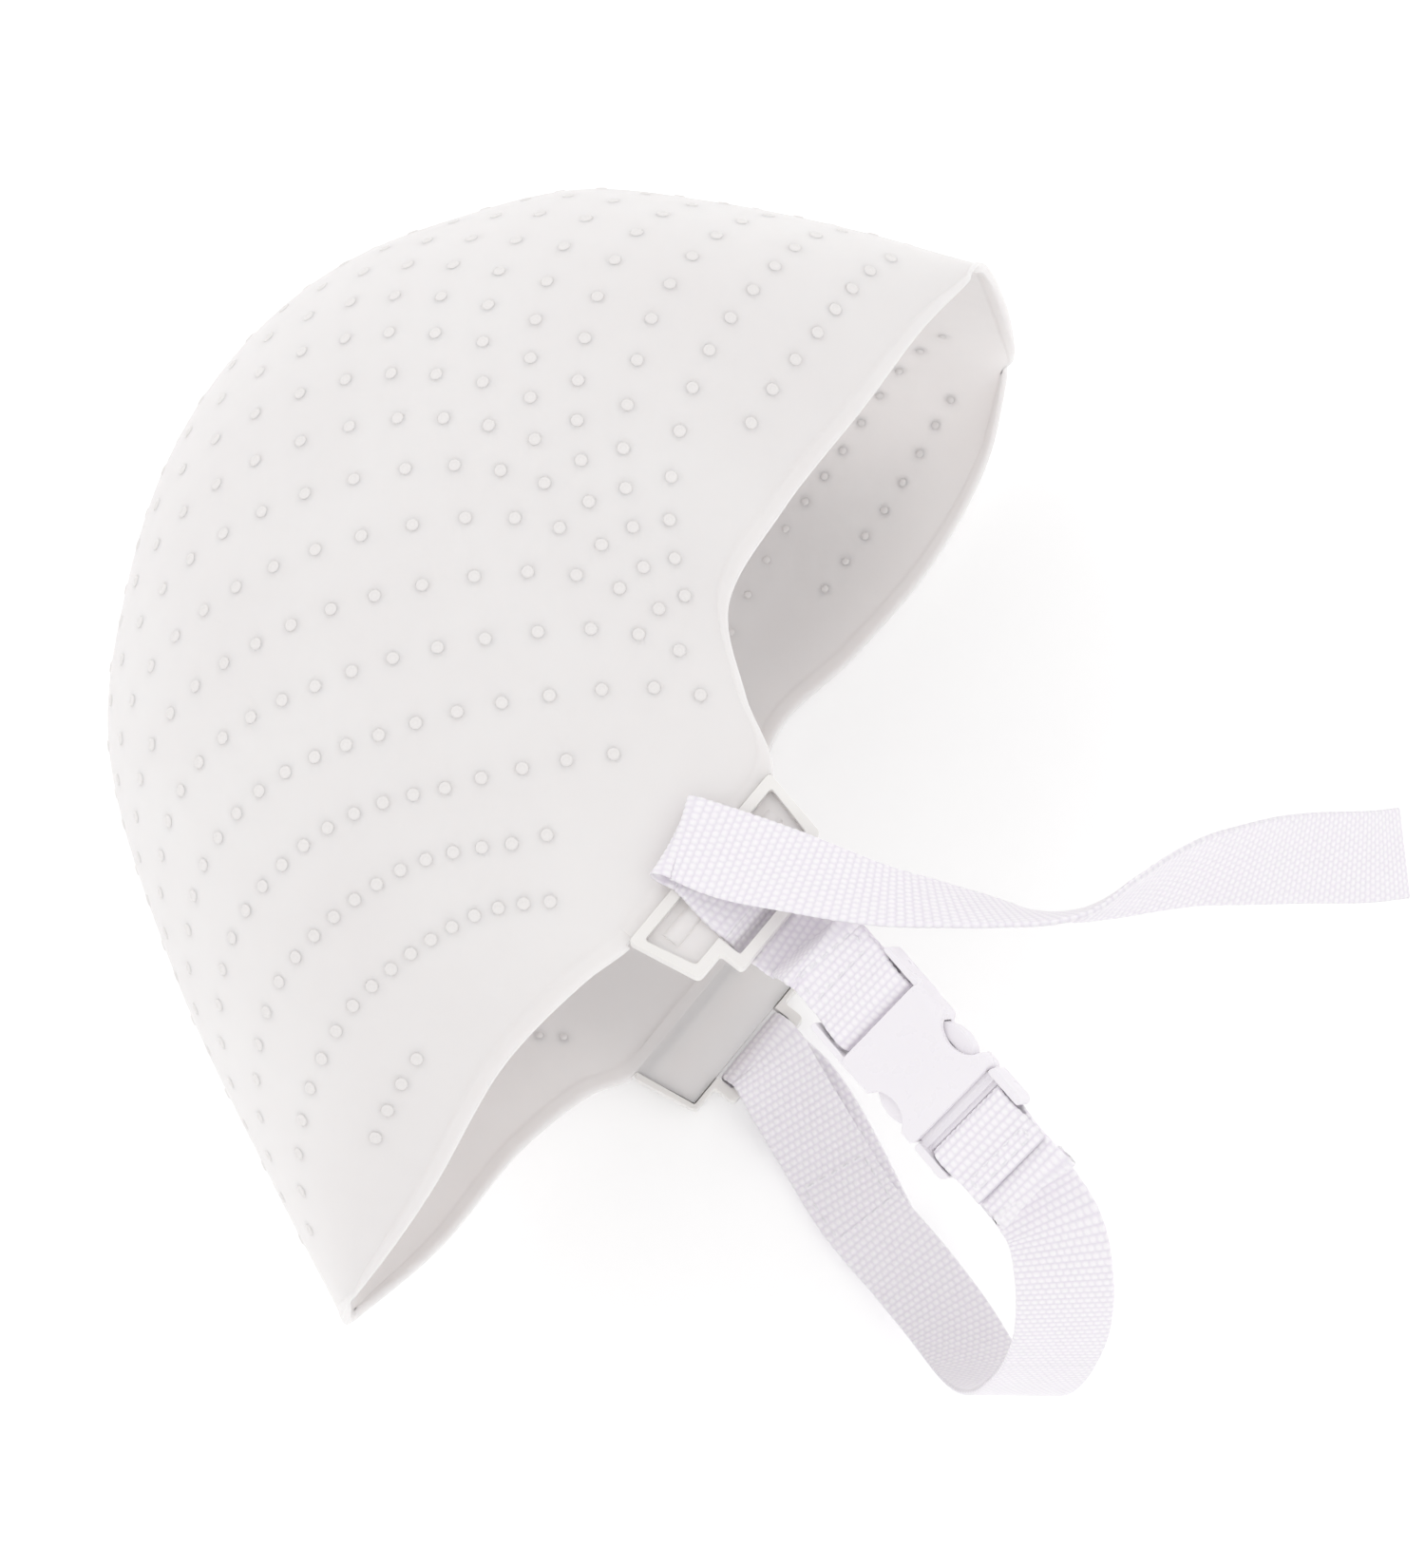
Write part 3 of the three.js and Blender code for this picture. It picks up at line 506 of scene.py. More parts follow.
def silicone_cap():
    shell = new_piece("silicone_cap", *skin_mesh(), silicone)
    half = EDGE_WIDTH / 2 + GAP
    reach = FRAME_DEPTH / 2
    for matrix in (near_matrix, far_matrix):
        outline = [(-half, -FRAME_DEPTH), (half, -FRAME_DEPTH), (half, GAP), (-half, GAP)]
        trim = new_piece("trim", *placed(matrix, prism(outline, -reach, reach)), silicone)
        cut(shell, trim, "DIFFERENCE")
        for tool in ear_tab(matrix):
            cut(shell, tool, "UNION")
    shade_smooth(shell.data, 32)
    return shell


# ---- the pits that a hook is pushed through ----
PIT_ROW, PIT_PITCH = 9.0, 18.0
PIT_MARGIN = 15.0              # rim to the nearest pit
TAB_CLEAR = 27.0               # middle of a tab to the nearest pit
PIT_SIDES, BUMP_SIDES = 12, 8
OFF_TABLE = 0.6                # a pit that the table flattens shows no collar
PIT_SAMPLES = {"crown": 400, "hoop": 300}
# radius and height above the skin: a low collar round a shallow crater
PIT_PROFILE = [(0.34, 0.04), (0.6, 0.08), (0.78, 0.22), (1.0, 0.28), (1.2, 0.17), (1.42, -0.12)]
BUMP_PROFILE = [(0.45, 0.2), (0.85, 0.08), (1.05, -0.1)]


def arc_positions(points, pitch, margin, shift):
    """Parameters, from 0 to 1, of places a pitch apart along a sampled line, centred on its middle."""
    length = np.concatenate([[0], np.cumsum(np.linalg.norm(np.diff(points, axis=0), axis=1))])
    count = int((length[-1] / 2 - margin) / pitch) + 1
    places = length[-1] / 2 + (np.arange(-count, count + 1) + shift) * pitch
    places = places[(places > margin) & (places < length[-1] - margin)]
    return np.interp(places, length, np.linspace(0, 1, len(points)))


def turned_profile(profile, at, normal, sides):
    """Vertices and faces of a profile turned about a normal, closed in the middle."""
    helper = unit(np.cross(normal, [0.3, 0.9, 0.2]))
    other = np.cross(normal, helper)
    angles = np.arange(sides) * 2 * np.pi / sides
    circle = np.cos(angles)[:, None] * helper + np.sin(angles)[:, None] * other
    verts = [at + normal * profile[0][1]]
    for radius, height in profile:
        verts.extend(at + circle * radius + normal * height)
    faces = [(0, 1 + j, 1 + (j + 1) % sides) for j in range(sides)]
    for ring in range(len(profile) - 1):
        a, b = 1 + ring * sides, 1 + (ring + 1) * sides
        faces += [(a + j, b + j, b + (j + 1) % sides, a + (j + 1) % sides) for j in range(sides)]
    return verts, faces


def joined(shapes):
    """One list of vertices and faces from many."""
    verts, faces = [], []
    for more_verts, more_faces in shapes:
        base = len(verts)
        verts.extend(more_verts)
        faces.extend([tuple(base + k for k in face) for face in more_faces])
    return verts, faces


def pit_places():
    crown = spline(CROWN_LINE, np.linspace(0, 1, PIT_SAMPLES["crown"]))
    line = np.linspace(-1, 1, PIT_SAMPLES["hoop"])
    places = []
    for number, s in enumerate(arc_positions(crown, PIT_ROW, PIT_MARGIN, 0)):
        hoop = skin(np.full(len(line), s), line)
        for share in arc_positions(hoop, PIT_PITCH, PIT_MARGIN, 0.5 * (number % 2)):
            places.append((s, 2 * share - 1))
    places = np.array(places)
    points = skin(places[:, 0], places[:, 1])
    inward = skin_frame(places[:, 0], places[:, 1])[2]
    world, turned = to_world(points), inward @ np.array(cap_matrix)[:3, :3].T
    clear = np.ones(len(world), bool)
    for edge in (near_edge, far_edge):
        clear &= np.linalg.norm(world - edge, axis=1) > TAB_CLEAR
    return world[clear], turned[clear]


def cap_pits():
    world, inward = pit_places()
    outer, inner = [], []
    for at, normal in zip(world, inward):
        if at[2] > OFF_TABLE:
            outer.append(turned_profile(PIT_PROFILE, at, -normal, PIT_SIDES))
        under = at + normal * SKIN
        under[2] = max(under[2], SKIN)
        inner.append(turned_profile(BUMP_PROFILE, under, normal, BUMP_SIDES))
    return new_piece("hook_pits", *joined(outer + inner), pit_silicone, 50)


# ---- webbing ----
WEBBING_WIDTH, WEBBING_THICK = 20, 1.3
FOLD_RADIUS, FOLD_LEAN, FOLD_STEPS = 1.4, math.radians(13.4), 6
LAP_FAR, LAP_BUCKLE, PLUG_LAP = 50, 17, 11.5
BODY_LENGTH, RAIL_LENGTH = 23, 10
BAR_RADIUS, BAR_SETBACK, PLUG_BAR = 1.4, 3.5, 6.2
BUCKLE_OFFSET = np.array([52, -53.5, 13])
BUCKLE_YAW, BUCKLE_PITCH, BUCKLE_ROLL = (math.radians(a) for a in (-51, 8, 28))
buckle_matrix = (Matrix.Rotation(BUCKLE_YAW, 4, "Z") @ Matrix.Rotation(-BUCKLE_PITCH, 4, "Y")
                 @ Matrix.Rotation(BUCKLE_ROLL, 4, "X"))
buckle_matrix.translation = near_edge + BUCKLE_OFFSET
SOCKET_BAR = -BODY_LENGTH - BAR_SETBACK
LAYER = (WEBBING_THICK + GAP) / 2
LOOP_RADIUS = BAR_RADIUS + GAP + WEBBING_THICK / 2
OVER_RIM = RIM_HEIGHT + GAP + WEBBING_THICK / 2
OVER_TAB = GAP + WEBBING_THICK / 2
UNDER_FRAME = -SKIN - 2 * GAP - WEBBING_THICK / 2


def station(matrix, point, across=(1, 0, 0)):
    """A point of the strap's middle line and the direction across it, in world axes."""
    return matrix @ Vector(point), (matrix.to_3x3() @ Vector(across)).normalized()


def turn(x, facing, side):
    """Half a turn round a bar across the buckle at x, starting above (1) or below (-1)."""
    places = []
    for degrees in (90, 60, 30, 0, -30, -60, -90):
        a = math.radians(degrees) * side
        point = (x + facing * LOOP_RADIUS * math.cos(a), 0, LOOP_RADIUS * math.sin(a))
        places.append(station(buckle_matrix, point, (0, 1, 0)))
    return places


def on_buckle(x, z):
    return station(buckle_matrix, (x, 0, z), (0, 1, 0))


# The crease among the strap's stations, how far the strap draws in there, and over what length.
FOLD_STATION, FOLD_PINCH, PINCH_RUN = 28, 0.1, 9
TAIL_STATION = 20              # on the ear tab, past the frame's slot, where the free tail begins


def fold_stations():
    """The free tail turns back over itself about a crease that leans a little."""
    crease = Vector((math.cos(FOLD_LEAN), math.sin(FOLD_LEAN), 0))
    inward = Vector((-math.sin(FOLD_LEAN), math.cos(FOLD_LEAN), 0))
    start = Vector((-0.7, 4.4, OVER_RIM))
    places = []
    for i in range(FOLD_STEPS + 1):
        a = math.pi * i / FOLD_STEPS
        across = Vector((1, 0, 0))
        turned = crease * across.dot(crease) + inward * across.dot(inward) * math.cos(a)
        turned += Vector((0, 0, across.dot(inward) * math.sin(a)))
        at = start + inward * FOLD_RADIUS * math.sin(a) + crease * math.tan(FOLD_LEAN) * FOLD_RADIUS * a
        at.z += FOLD_RADIUS * (1 - math.cos(a))
        places.append(station(near_matrix, at, turned))
    return places


# The free tail, from the middle of the near frame's edge, with its twist about its own run.
TAIL_RUN = [
    [6, -0.5, 7.4, 8], [22.5, -6, 11, 26], [36.5, -9.7, 11, 40], [49.5, -11.3, 9.5, 52], [59, -12, 7, 61],
    [70, -12.5, 3.5, 72], [79, -10.7, -1, 82], [88, -6.5, -6, 95], [97, -2, -12, 106], [105, 1.5, -18, 115],
    [116, 5, -27, 126], [130, 9, -41, 139], [146.5, 13, -58, 150], [155, 16, -68, 155],
]


def tail_stations():
    places = []
    for i, (x, y, z, degrees) in enumerate(TAIL_RUN):
        px, py = TAIL_RUN[max(0, i - 1)][:2]
        nx, ny = TAIL_RUN[min(len(TAIL_RUN) - 1, i + 1)][:2]
        level = Vector((py - ny, nx - px, 0)).normalized()
        twist = math.radians(degrees)
        across = level * math.cos(twist) - Vector((0, 0, math.sin(twist)))
        places.append((Vector(near_edge) + Vector((x, y, z)), across))
    return places


def front_stations():
    def on_near(*args):
        return station(near_matrix, *args)

    ridge_foot = -(RIDGE_DEPTH + RIDGE_WIDTH / 2 + TAB_DEPTH) / 2
    return [
        on_buckle(SOCKET_BAR - LAP_BUCKLE, -LAYER), on_buckle(SOCKET_BAR - LAP_BUCKLE / 2, -LAYER),
        on_buckle(SOCKET_BAR - 3.5, -1.9), *turn(SOCKET_BAR, 1, -1), on_buckle(SOCKET_BAR - 3.5, 1.9),
        on_buckle(SOCKET_BAR - 6.5, LAYER), on_buckle(SOCKET_BAR - 9, LAYER),
        on_buckle(SOCKET_BAR - LAP_BUCKLE + 3, LAYER), on_buckle(SOCKET_BAR - LAP_BUCKLE, LAYER),
        on_near((0.8, -FRAME_DEPTH - 6, UNDER_FRAME - 0.6), (0.97, -0.2, 0)),
        on_near((0.4, -FRAME_DEPTH - 0.5, UNDER_FRAME), (1, -0.05, 0)),
        on_near((0.2, -BAR_INNER - 0.5, UNDER_FRAME - 0.45)),
        on_near((0, -BAR_INNER + 1.7, UNDER_FRAME + 0.75)), on_near((0, -TAB_DEPTH - 1.4, OVER_TAB - 0.7)),
        on_near((0, -TAB_DEPTH + 0.1, OVER_TAB + 0.3)), on_near((0, ridge_foot, OVER_TAB + 0.4)),
        on_near((0.4, -RIDGE_DEPTH, OVER_TAB + RIDGE_HEIGHT + 0.2)),
        on_near((0.6, -FRAME_RIM - 0.6, OVER_RIM)), on_near((0.3, 1, OVER_RIM)),
        *fold_stations(), *tail_stations(),
    ]


# The bend of the back strap: x, y, z, then the direction across.
BEND_RUN = [
    [109, -110.5, 150, 0.84, 0.4, 0.37], [115.5, -119.5, 144, 0.95, 0.2, 0.22],
    [118, -129, 135, 0.99, 0.04, 0.08], [118.5, -137, 120, 1, 0.03, -0.08],
    [117, -142, 103, 0.98, 0, -0.18], [114.5, -144.5, 82, 0.97, -0.03, -0.24],
    [112, -143.5, 58, 0.96, 0.02, -0.24], [109, -139, 35, 0.95, 0.12, -0.24],
    [105.5, -131, 17, 0.93, 0.3, -0.15], [100, -121, 7.5, 0.88, 0.46, -0.06],
    [92, -110, 3.5, 0.83, 0.55, 0], [80, -95.5, 2.8, 0.81, 0.58, 0],
]
FIRST_BEND, JUNCTION = 14, 4   # where the bend starts in the back strap, and its point where the halves meet


def back_stations():
    in_slot = TAB_DEPTH + 2 * GAP + WEBBING_THICK / 2
    lap = far_edge[2] - GAP - WEBBING_THICK / 2

    def on_far(point, across=(-1, 0, 0)):
        return station(far_matrix, point, across)

    return [
        on_buckle(PLUG_BAR + PLUG_LAP, LAYER), on_buckle(PLUG_BAR + 9, LAYER),
        on_buckle(PLUG_BAR + 6.5, LAYER), on_buckle(PLUG_BAR + 3.5, 1.9),
        *turn(PLUG_BAR, -1, 1), on_buckle(PLUG_BAR + 3.5, -1.9),
        on_buckle(PLUG_BAR + LAP_BUCKLE / 2, -LAYER), on_buckle(PLUG_BAR + LAP_BUCKLE, -LAYER - 0.6),
        *[(Vector(row[:3]), Vector(row[3:]).normalized()) for row in BEND_RUN],
        on_far((8.3, -FRAME_DEPTH - 23, 3.3), (-1, -0.3, 0)),
        on_far((3.5, -FRAME_DEPTH - 9, 0.2), (-1, -0.25, 0)),
        on_far((0.5, -FRAME_DEPTH - 0.5, UNDER_FRAME - 0.2), (-1, -0.08, 0)),
        on_far((0, -BAR_INNER - 0.6, UNDER_FRAME - 0.55)), on_far((0, -BAR_INNER + 1.3, UNDER_FRAME - 0.3)),
        on_far((0, -in_slot - 0.3, -1.2)), on_far((0, -in_slot - 0.1, 0.4)),
        on_far((0, -in_slot - 0.5, 2.1)),
        on_far((0, -BAR_INNER + 1, OVER_RIM)), on_far((0, -FRAME_DEPTH - 0.5, OVER_RIM)),
        on_far((0.2, -FRAME_DEPTH - 8, lap - 0.4), (-1, -0.12, 0)),
        on_far((3, -FRAME_DEPTH - 18, lap), (-1, -0.25, 0)),
        on_far((LAP_FAR * 0.3, -FRAME_DEPTH - LAP_FAR * 0.9, lap), (-1, -0.36, 0)),
    ]


PICK = 1.7                     # rib to rib along the strap
YARN = 0.78                    # warp yarn to warp yarn across it
ROWS_PER_PICK, COLUMNS_PER_YARN = 5, 3
WEAVE_DEPTH = 0.27
STRAP_CORE = WEBBING_THICK - 2 * WEAVE_DEPTH * 0.75
SPAN_SAMPLES = 60              # between two stations, before the strap is sampled evenly
SCALLOP = 0.12                 # how far each rib's turn of yarn swells the strap's edge


class Strap:
    """A strap's middle line, sampled evenly along it, with its direction across and its face normal."""

    def __init__(self, stations):
        points = np.array([s[0] for s in stations], float)
        sides = np.array([s[1] for s in stations], float)
        dense = np.linspace(0, 1, SPAN_SAMPLES * (len(stations) - 1) + 1)
        line = spline(points, dense)
        length = np.concatenate([[0], np.cumsum(np.linalg.norm(np.diff(line, axis=0), axis=1))])
        self.length = length[-1]
        self.at_station = length[::SPAN_SAMPLES]
        self.u = np.linspace(0, self.length, int(self.length / PICK * ROWS_PER_PICK) + 1)
        t = np.interp(self.u, length, dense)
        self.centre = spline(points, t)
        self.tangent = unit(np.gradient(self.centre, axis=0))
        side = spline(sides, t)
        self.across = unit(side - self.tangent * np.sum(side * self.tangent, axis=1, keepdims=True))
        self.up = np.cross(self.tangent, self.across)
        self.width = np.ones(len(self.u))

    def row_at(self, u):
        return int(u / self.length * (len(self.u) - 1))

    def place(self, u, v, lift):
        """A point at u along, v across and lift out of the middle line, and its row."""
        row = min(int(round(u / self.length * (len(self.u) - 1))), len(self.u) - 1)
        return self.centre[row] + self.across[row] * v + self.up[row] * lift, row


def weave(u, v, face):
    """Height, 0 to 1, of a plain weave: ribs of yarn crowns, each rib's between those of the one before."""
    rib = np.floor(u / PICK)
    along = np.sin(np.pi * (u / PICK - rib)) ** 0.8
    odd = np.mod(rib, 2) if face > 0 else 1 - np.mod(rib, 2)
    crown = np.abs(np.cos(np.pi * (v / YARN / 2 + odd / 2)))
    return along * (0.2 + 0.8 * crown)


def strap_mesh(strap, first, last):
    """The woven band between two rows of a strap: an upper and a lower face that meet in rounded edges."""
    half = WEBBING_WIDTH / 2
    columns = int(round(WEBBING_WIDTH / YARN)) * COLUMNS_PER_YARN
    v = np.linspace(-half, half, columns + 1)
    soft = np.clip((half - np.abs(v)) / (STRAP_CORE / 2), 0, 1)
    thick = STRAP_CORE / 2 * np.sqrt(1 - (1 - soft) ** 2)
    u = strap.u[first:last + 1]
    end_fade = np.clip(np.minimum(strap.u, strap.length - strap.u) / PICK, 0, 1)[first:last + 1]
    sheet_u, sheet_v = np.meshgrid(u, v, indexing="ij")
    rim = np.clip(soft * 1.5, 0.35, 1) * end_fade[:, None]
    yarns = weave(sheet_u, sheet_v, 1), weave(sheet_u, sheet_v, -1)
    top, bottom = thick + WEAVE_DEPTH * yarns[0] * rim, -thick - WEAVE_DEPTH * yarns[1] * rim
    centre, across, up = (a[first:last + 1, None] for a in (strap.centre, strap.across, strap.up))
    scallop = np.where(soft < 0.01, SCALLOP * np.sin(np.pi * sheet_u / PICK) ** 2, 0)
    spread = (sheet_v + np.sign(sheet_v) * scallop) * strap.width[first:last + 1, None]
    upper = centre + across * spread[..., None] + up * top[..., None]
    lower = (centre + across * spread[..., None] + up * bottom[..., None])[:, 1:-1][:, ::-1]
    ring = np.concatenate([upper, lower], axis=1)
    count = ring.shape[1]
    around = np.concatenate([v, (v[1:-1] + 3 * half)[::-1]])
    uvs = np.stack(np.broadcast_arrays(u[:, None], around[None]), axis=-1).reshape(-1, 2)
    i, j = np.meshgrid(np.arange(len(u) - 1), np.arange(count), indexing="ij")
    a, b = i * count + j, i * count + (j + 1) % count
    faces = np.stack([a, a + count, b + count, b], axis=-1).reshape(-1, 4).tolist()
    closing = (len(u) - 1) * count
    faces += [list(range(count)), list(range(closing, closing + count))[::-1]]
    # The yarn heights, kept for the webbing's painted shade in the weave's valleys.
    yarn = np.concatenate([yarns[0], yarns[1][:, 1:-1][:, ::-1]], axis=1)
    return ring.reshape(-1, 3), faces, uvs, yarn.ravel()


def strap_piece(name, strap, first, last):
    verts, faces, uvs, yarn = strap_mesh(strap, first, last)
    return new_piece(name, verts, faces, webbing, uvs=uvs, yarn=yarn)


# ---- stitches ----
STITCH, STITCH_PITCH, THREAD, SEAM_INSET = 2.3, 2.9, 0.62, 2.2
THREAD_LIFT, THREAD_SINK, THREAD_SIDES = 0.17, 0.28, 8
# share of a stitch's length from its middle, and its thickness there
STITCH_RINGS = [(-0.5, 0.1), (-0.42, 0.7), (-0.2, 1), (0.2, 1), (0.42, 0.7), (0.5, 0.1)]


def stitch(strap, u, v, face, along):
    """A short thread pressed into the webbing at (u, v) on one face, lying along the strap or across it."""
    at, row = strap.place(u, v, face * (STRAP_CORE / 2 + THREAD_LIFT))
    run = strap.tangent[row] if along else strap.across[row]
    side = np.cross(strap.up[row], run)
    verts, faces = [], []
    sides = THREAD_SIDES
    for share, size in STITCH_RINGS:
        sink = -face * strap.up[row] * THREAD_SINK * abs(2 * share) ** 3
        for k in range(sides):
            a = 2 * math.pi * k / sides
            out = (side * math.cos(a) + strap.up[row] * math.sin(a)) * THREAD / 2 * size
            verts.append(at + run * share * STITCH + sink + out)
    for ring in range(len(STITCH_RINGS) - 1):
        base = ring * sides
        for k in range(sides):
            n = (k + 1) % sides
            faces.append((base + k, base + n, base + sides + n, base + sides + k))
    last = (len(STITCH_RINGS) - 1) * sides
    faces += [tuple(range(sides))[::-1], tuple(range(last, last + sides))]
    return verts, faces


def box_seam(strap, start, end, face):
    """A box of stitches between two places along the strap."""
    inset = WEBBING_WIDTH / 2 - SEAM_INSET
    shapes = []
    count = max(1, int((end - start) / STITCH_PITCH))
    for i in range(count):
        u = start + (i + 0.5) * (end - start) / count
        shapes += [stitch(strap, u, v, face, True) for v in (-inset, inset)]
    count = int(2 * inset / STITCH_PITCH)
    for i in range(count):
        v = -inset + (i + 0.5) * 2 * inset / count
        shapes += [stitch(strap, u, v, face, False) for u in (start, end)]
    return shapes


# ---- moulded parts; prisms are joined and cut in the part's own axes, then softened all round ----
SLOT_PLAY, BUCKLE_WALL, BUCKLE_HEIGHT, BUCKLE_PLAY = 0.5, 1.8, 7.4, 0.4
CAVITY_HALF = WEBBING_WIDTH / 2 + BUCKLE_PLAY
BODY_HALF = CAVITY_HALF + BUCKLE_WALL
CAVITY_HEIGHT = BUCKLE_HEIGHT / 2 - BUCKLE_WALL
PRONG_HEIGHT = CAVITY_HEIGHT - GAP
PRONG_LENGTH, PRONG_EAR = 15.5, 1.5
WINDOW_MIDDLE, WINDOW_HALF, WINDOW_REACH = -9.0, 5.5, 4.4
PLUG_FLANGE, GUIDE_LENGTH = 2.1, 16
PRONG_LANE = 1.3
BAR_SIDES, CURVE_SIDES, CORNER_STEPS = 28, 32, 7
SIDE_HALF = 2.8                # half the height of the socket's rails and the plug's side walls
THROUGH = 9                    # a cutting tool's reach, past any part's height
VOXEL = 0.17
WALL_END = 9.6                 # the plug's rounded shoulders


def rounded(points, radius):
    """A polygon with a curve for each corner, starting a radius before it; radius may be a list."""
    points = [np.array(p, float) for p in points]
    radii = radius if isinstance(radius, list) else [radius] * len(points)
    outline = []
    for i, (corner, r) in enumerate(zip(points, radii)):
        before, after = points[i - 1] - corner, points[(i + 1) % len(points)] - corner
        start, end = corner + unit(before) * r, corner + unit(after) * r
        steps = np.linspace(0, 1, CORNER_STEPS if r > 0 else 1)
        outline += [(1 - t) ** 2 * start + 2 * t * (1 - t) * corner + t * t * end for t in steps]
    return [tuple(p) for p in outline]


def rectangle(x0, x1, y0, y1, radius=0.0):
    return rounded([(x0, y0), (x1, y0), (x1, y1), (x0, y1)], radius)


def mirrored(outline, side):
    """The outline as it is for side 1, or reflected across y = 0 and still anticlockwise for side -1."""
    return outline if side > 0 else [(x, -y) for x, y in outline][::-1]


def ellipse(x, y, half_x, half_y):
    angles = np.linspace(0, 2 * np.pi, CURVE_SIDES, endpoint=False)
    return [(x + half_x * math.cos(a), y + half_y * math.sin(a)) for a in angles]


def solid(outline, low, high):
    return new_piece("solid", *prism(outline, low, high))


def round_bar(x, radius, half):
    """A bar across the buckle at x, as a closed cylinder."""
    count = BAR_SIDES
    angles = np.linspace(0, 2 * np.pi, count, endpoint=False)
    verts = [(x + radius * math.cos(a), y, radius * math.sin(a)) for y in (-half, half) for a in angles]
    faces = [tuple(range(count)), tuple(range(count, 2 * count))[::-1]]
    faces += [(count + j, count + (j + 1) % count, (j + 1) % count, j) for j in range(count)]
    return new_piece("bar", verts, faces)


def rounded_block(x0, x1, half, height, plan, section):
    """A block rounded in plan and, more gently, across its section."""
    block = solid(rectangle(x0, x1, -half, half, plan), -height, height)
    across = rectangle(-half, half, -height, height, section)
    verts, faces = prism(across, x0 - 1, x1 + 1)
    turned = new_piece("section", [(z, x, y) for x, y, z in verts], faces)
    cut(block, turned, "INTERSECT")
    return block


def carved(body, tools):
    for tool in tools:
        cut(body, tool, "DIFFERENCE")
    return body


def gathered(body, others):
    """Puts overlapping solids in one mesh; the remesh in moulded() makes one skin of them."""
    work = bmesh.new()
    for one in (body, *others):
        work.from_mesh(one.data)
    work.to_mesh(body.data)
    work.free()
    for one in others:
        bpy.data.objects.remove(one)
    return body


def strap_frame():
    half_block = WEBBING_WIDTH / 2 + SLOT_PLAY + FRAME_RIM
    half_edge, half_shoulder = EDGE_WIDTH / 2, SHOULDER_WIDTH / 2
    outside = rounded([
        (-half_edge, 0), (-half_shoulder, -SHOULDER_DEPTH), (-half_block, -SHOULDER_DEPTH),
        (-half_block, -FRAME_DEPTH), (half_block, -FRAME_DEPTH), (half_block, -SHOULDER_DEPTH),
        (half_shoulder, -SHOULDER_DEPTH), (half_edge, 0),
    ], [1.1, 1.3, 0.7, 1.3, 1.3, 0.7, 1.3, 1.1])

    def trapezium(inset, top, radius):
        bottom = -SHOULDER_DEPTH + inset
        low, high = half_edge - inset + FRAME_TAPER * bottom, half_edge - inset
        return rounded([(-low, bottom), (low, bottom), (high, top), (-high, top)], radius)

    pocket = solid(trapezium(FRAME_RIM - LIP, FRAME_RIM, 0.3), -SKIN - 2 * GAP, GAP)
    window = solid(trapezium(FRAME_RIM, -FRAME_RIM, 0.9), 0, RIM_HEIGHT + GAP)
    slot_half = half_block - FRAME_RIM
    slot = solid(rectangle(-slot_half, slot_half, -BAR_INNER, -SHOULDER_DEPTH + FRAME_RIM + GAP, 0.6),
                 -SKIN - 2 * GAP, RIM_HEIGHT + GAP)
    return carved(solid(outside, -SKIN - GAP, RIM_HEIGHT), [pocket, window, slot])


def socket_body():
    block = rounded_block(-BODY_LENGTH, 0, BODY_HALF, BUCKLE_HEIGHT / 2, [2.0, 2.2, 2.2, 2.0], 2.0)
    added = [round_bar(SOCKET_BAR, BAR_RADIUS, BODY_HALF - GAP)]
    removed = [solid(rectangle(-BODY_LENGTH + BUCKLE_WALL, 1, -CAVITY_HALF, CAVITY_HALF),
                     -CAVITY_HEIGHT, CAVITY_HEIGHT)]
    for side in (-1, 1):
        rail = rectangle(-BODY_LENGTH - RAIL_LENGTH, -BODY_LENGTH + 3, CAVITY_HALF + GAP, BODY_HALF,
                         [0.7, 0, 0, 1.3])
        added.append(solid(mirrored(rail, side), -SIDE_HALF, SIDE_HALF))
        window = ellipse(WINDOW_MIDDLE, side * (BODY_HALF + 0.6), WINDOW_HALF, WINDOW_REACH)
        removed.append(solid(window, -THROUGH, THROUGH))
    return gathered(carved(block, removed), added)


def plug_base():
    tongue = solid(rectangle(-2, 1, -CAVITY_HALF + GAP, CAVITY_HALF - GAP), -PRONG_HEIGHT, PRONG_HEIGHT)
    others = [
        rounded_block(GAP, PLUG_FLANGE, BODY_HALF, 1.2, 0.5, 0.8),
        solid(rectangle(-GUIDE_LENGTH, 1, -1.6, 1.6, [0.9, 0, 0, 0.9]), -PRONG_HEIGHT, PRONG_HEIGHT),
        round_bar(PLUG_BAR, BAR_RADIUS, BODY_HALF - GAP),
        solid(rectangle(1, 3, 1 - BODY_HALF, BODY_HALF - 1), -1.9, 0.4),
    ]
    roots = []
    for side in (-1, 1):
        wall = rectangle(GAP, WALL_END, CAVITY_HALF, BODY_HALF, [0, 0.7, 1.7, 1.2])
        others.append(solid(mirrored(wall, side), -SIDE_HALF, SIDE_HALF))
        root = rectangle(-3, -1 + GAP, CAVITY_HALF - 4, CAVITY_HALF + 1)
        roots.append(solid(mirrored(root, side), -THROUGH, THROUGH))
    return gathered(carved(tongue, roots), others)


def prong(side):
    """A sprung arm: a straight root, the ear that fills the window, and a tapered nose."""
    ear = PRONG_LANE + GAP + PRONG_EAR
    outline = rounded([
        (-3, -0.7), (0, -0.7), (0, PRONG_LANE), (-3.1, PRONG_LANE), (-4.6, ear - 0.5),
        (-7.4, ear + 0.15), (-10, ear - 0.25), (-12.6, ear - 1.6), (-PRONG_LENGTH, -0.3),
        (-PRONG_LENGTH, -1.6), (-12.5, -1.4), (-9, -0.5), (-6, -0.7),
    ][::-1], 0.4)[::-1]
    moved = [(x - 1, y + CAVITY_HALF - 1.6) for x, y in outline]
    return solid(mirrored(moved, side), -PRONG_HEIGHT, PRONG_HEIGHT)


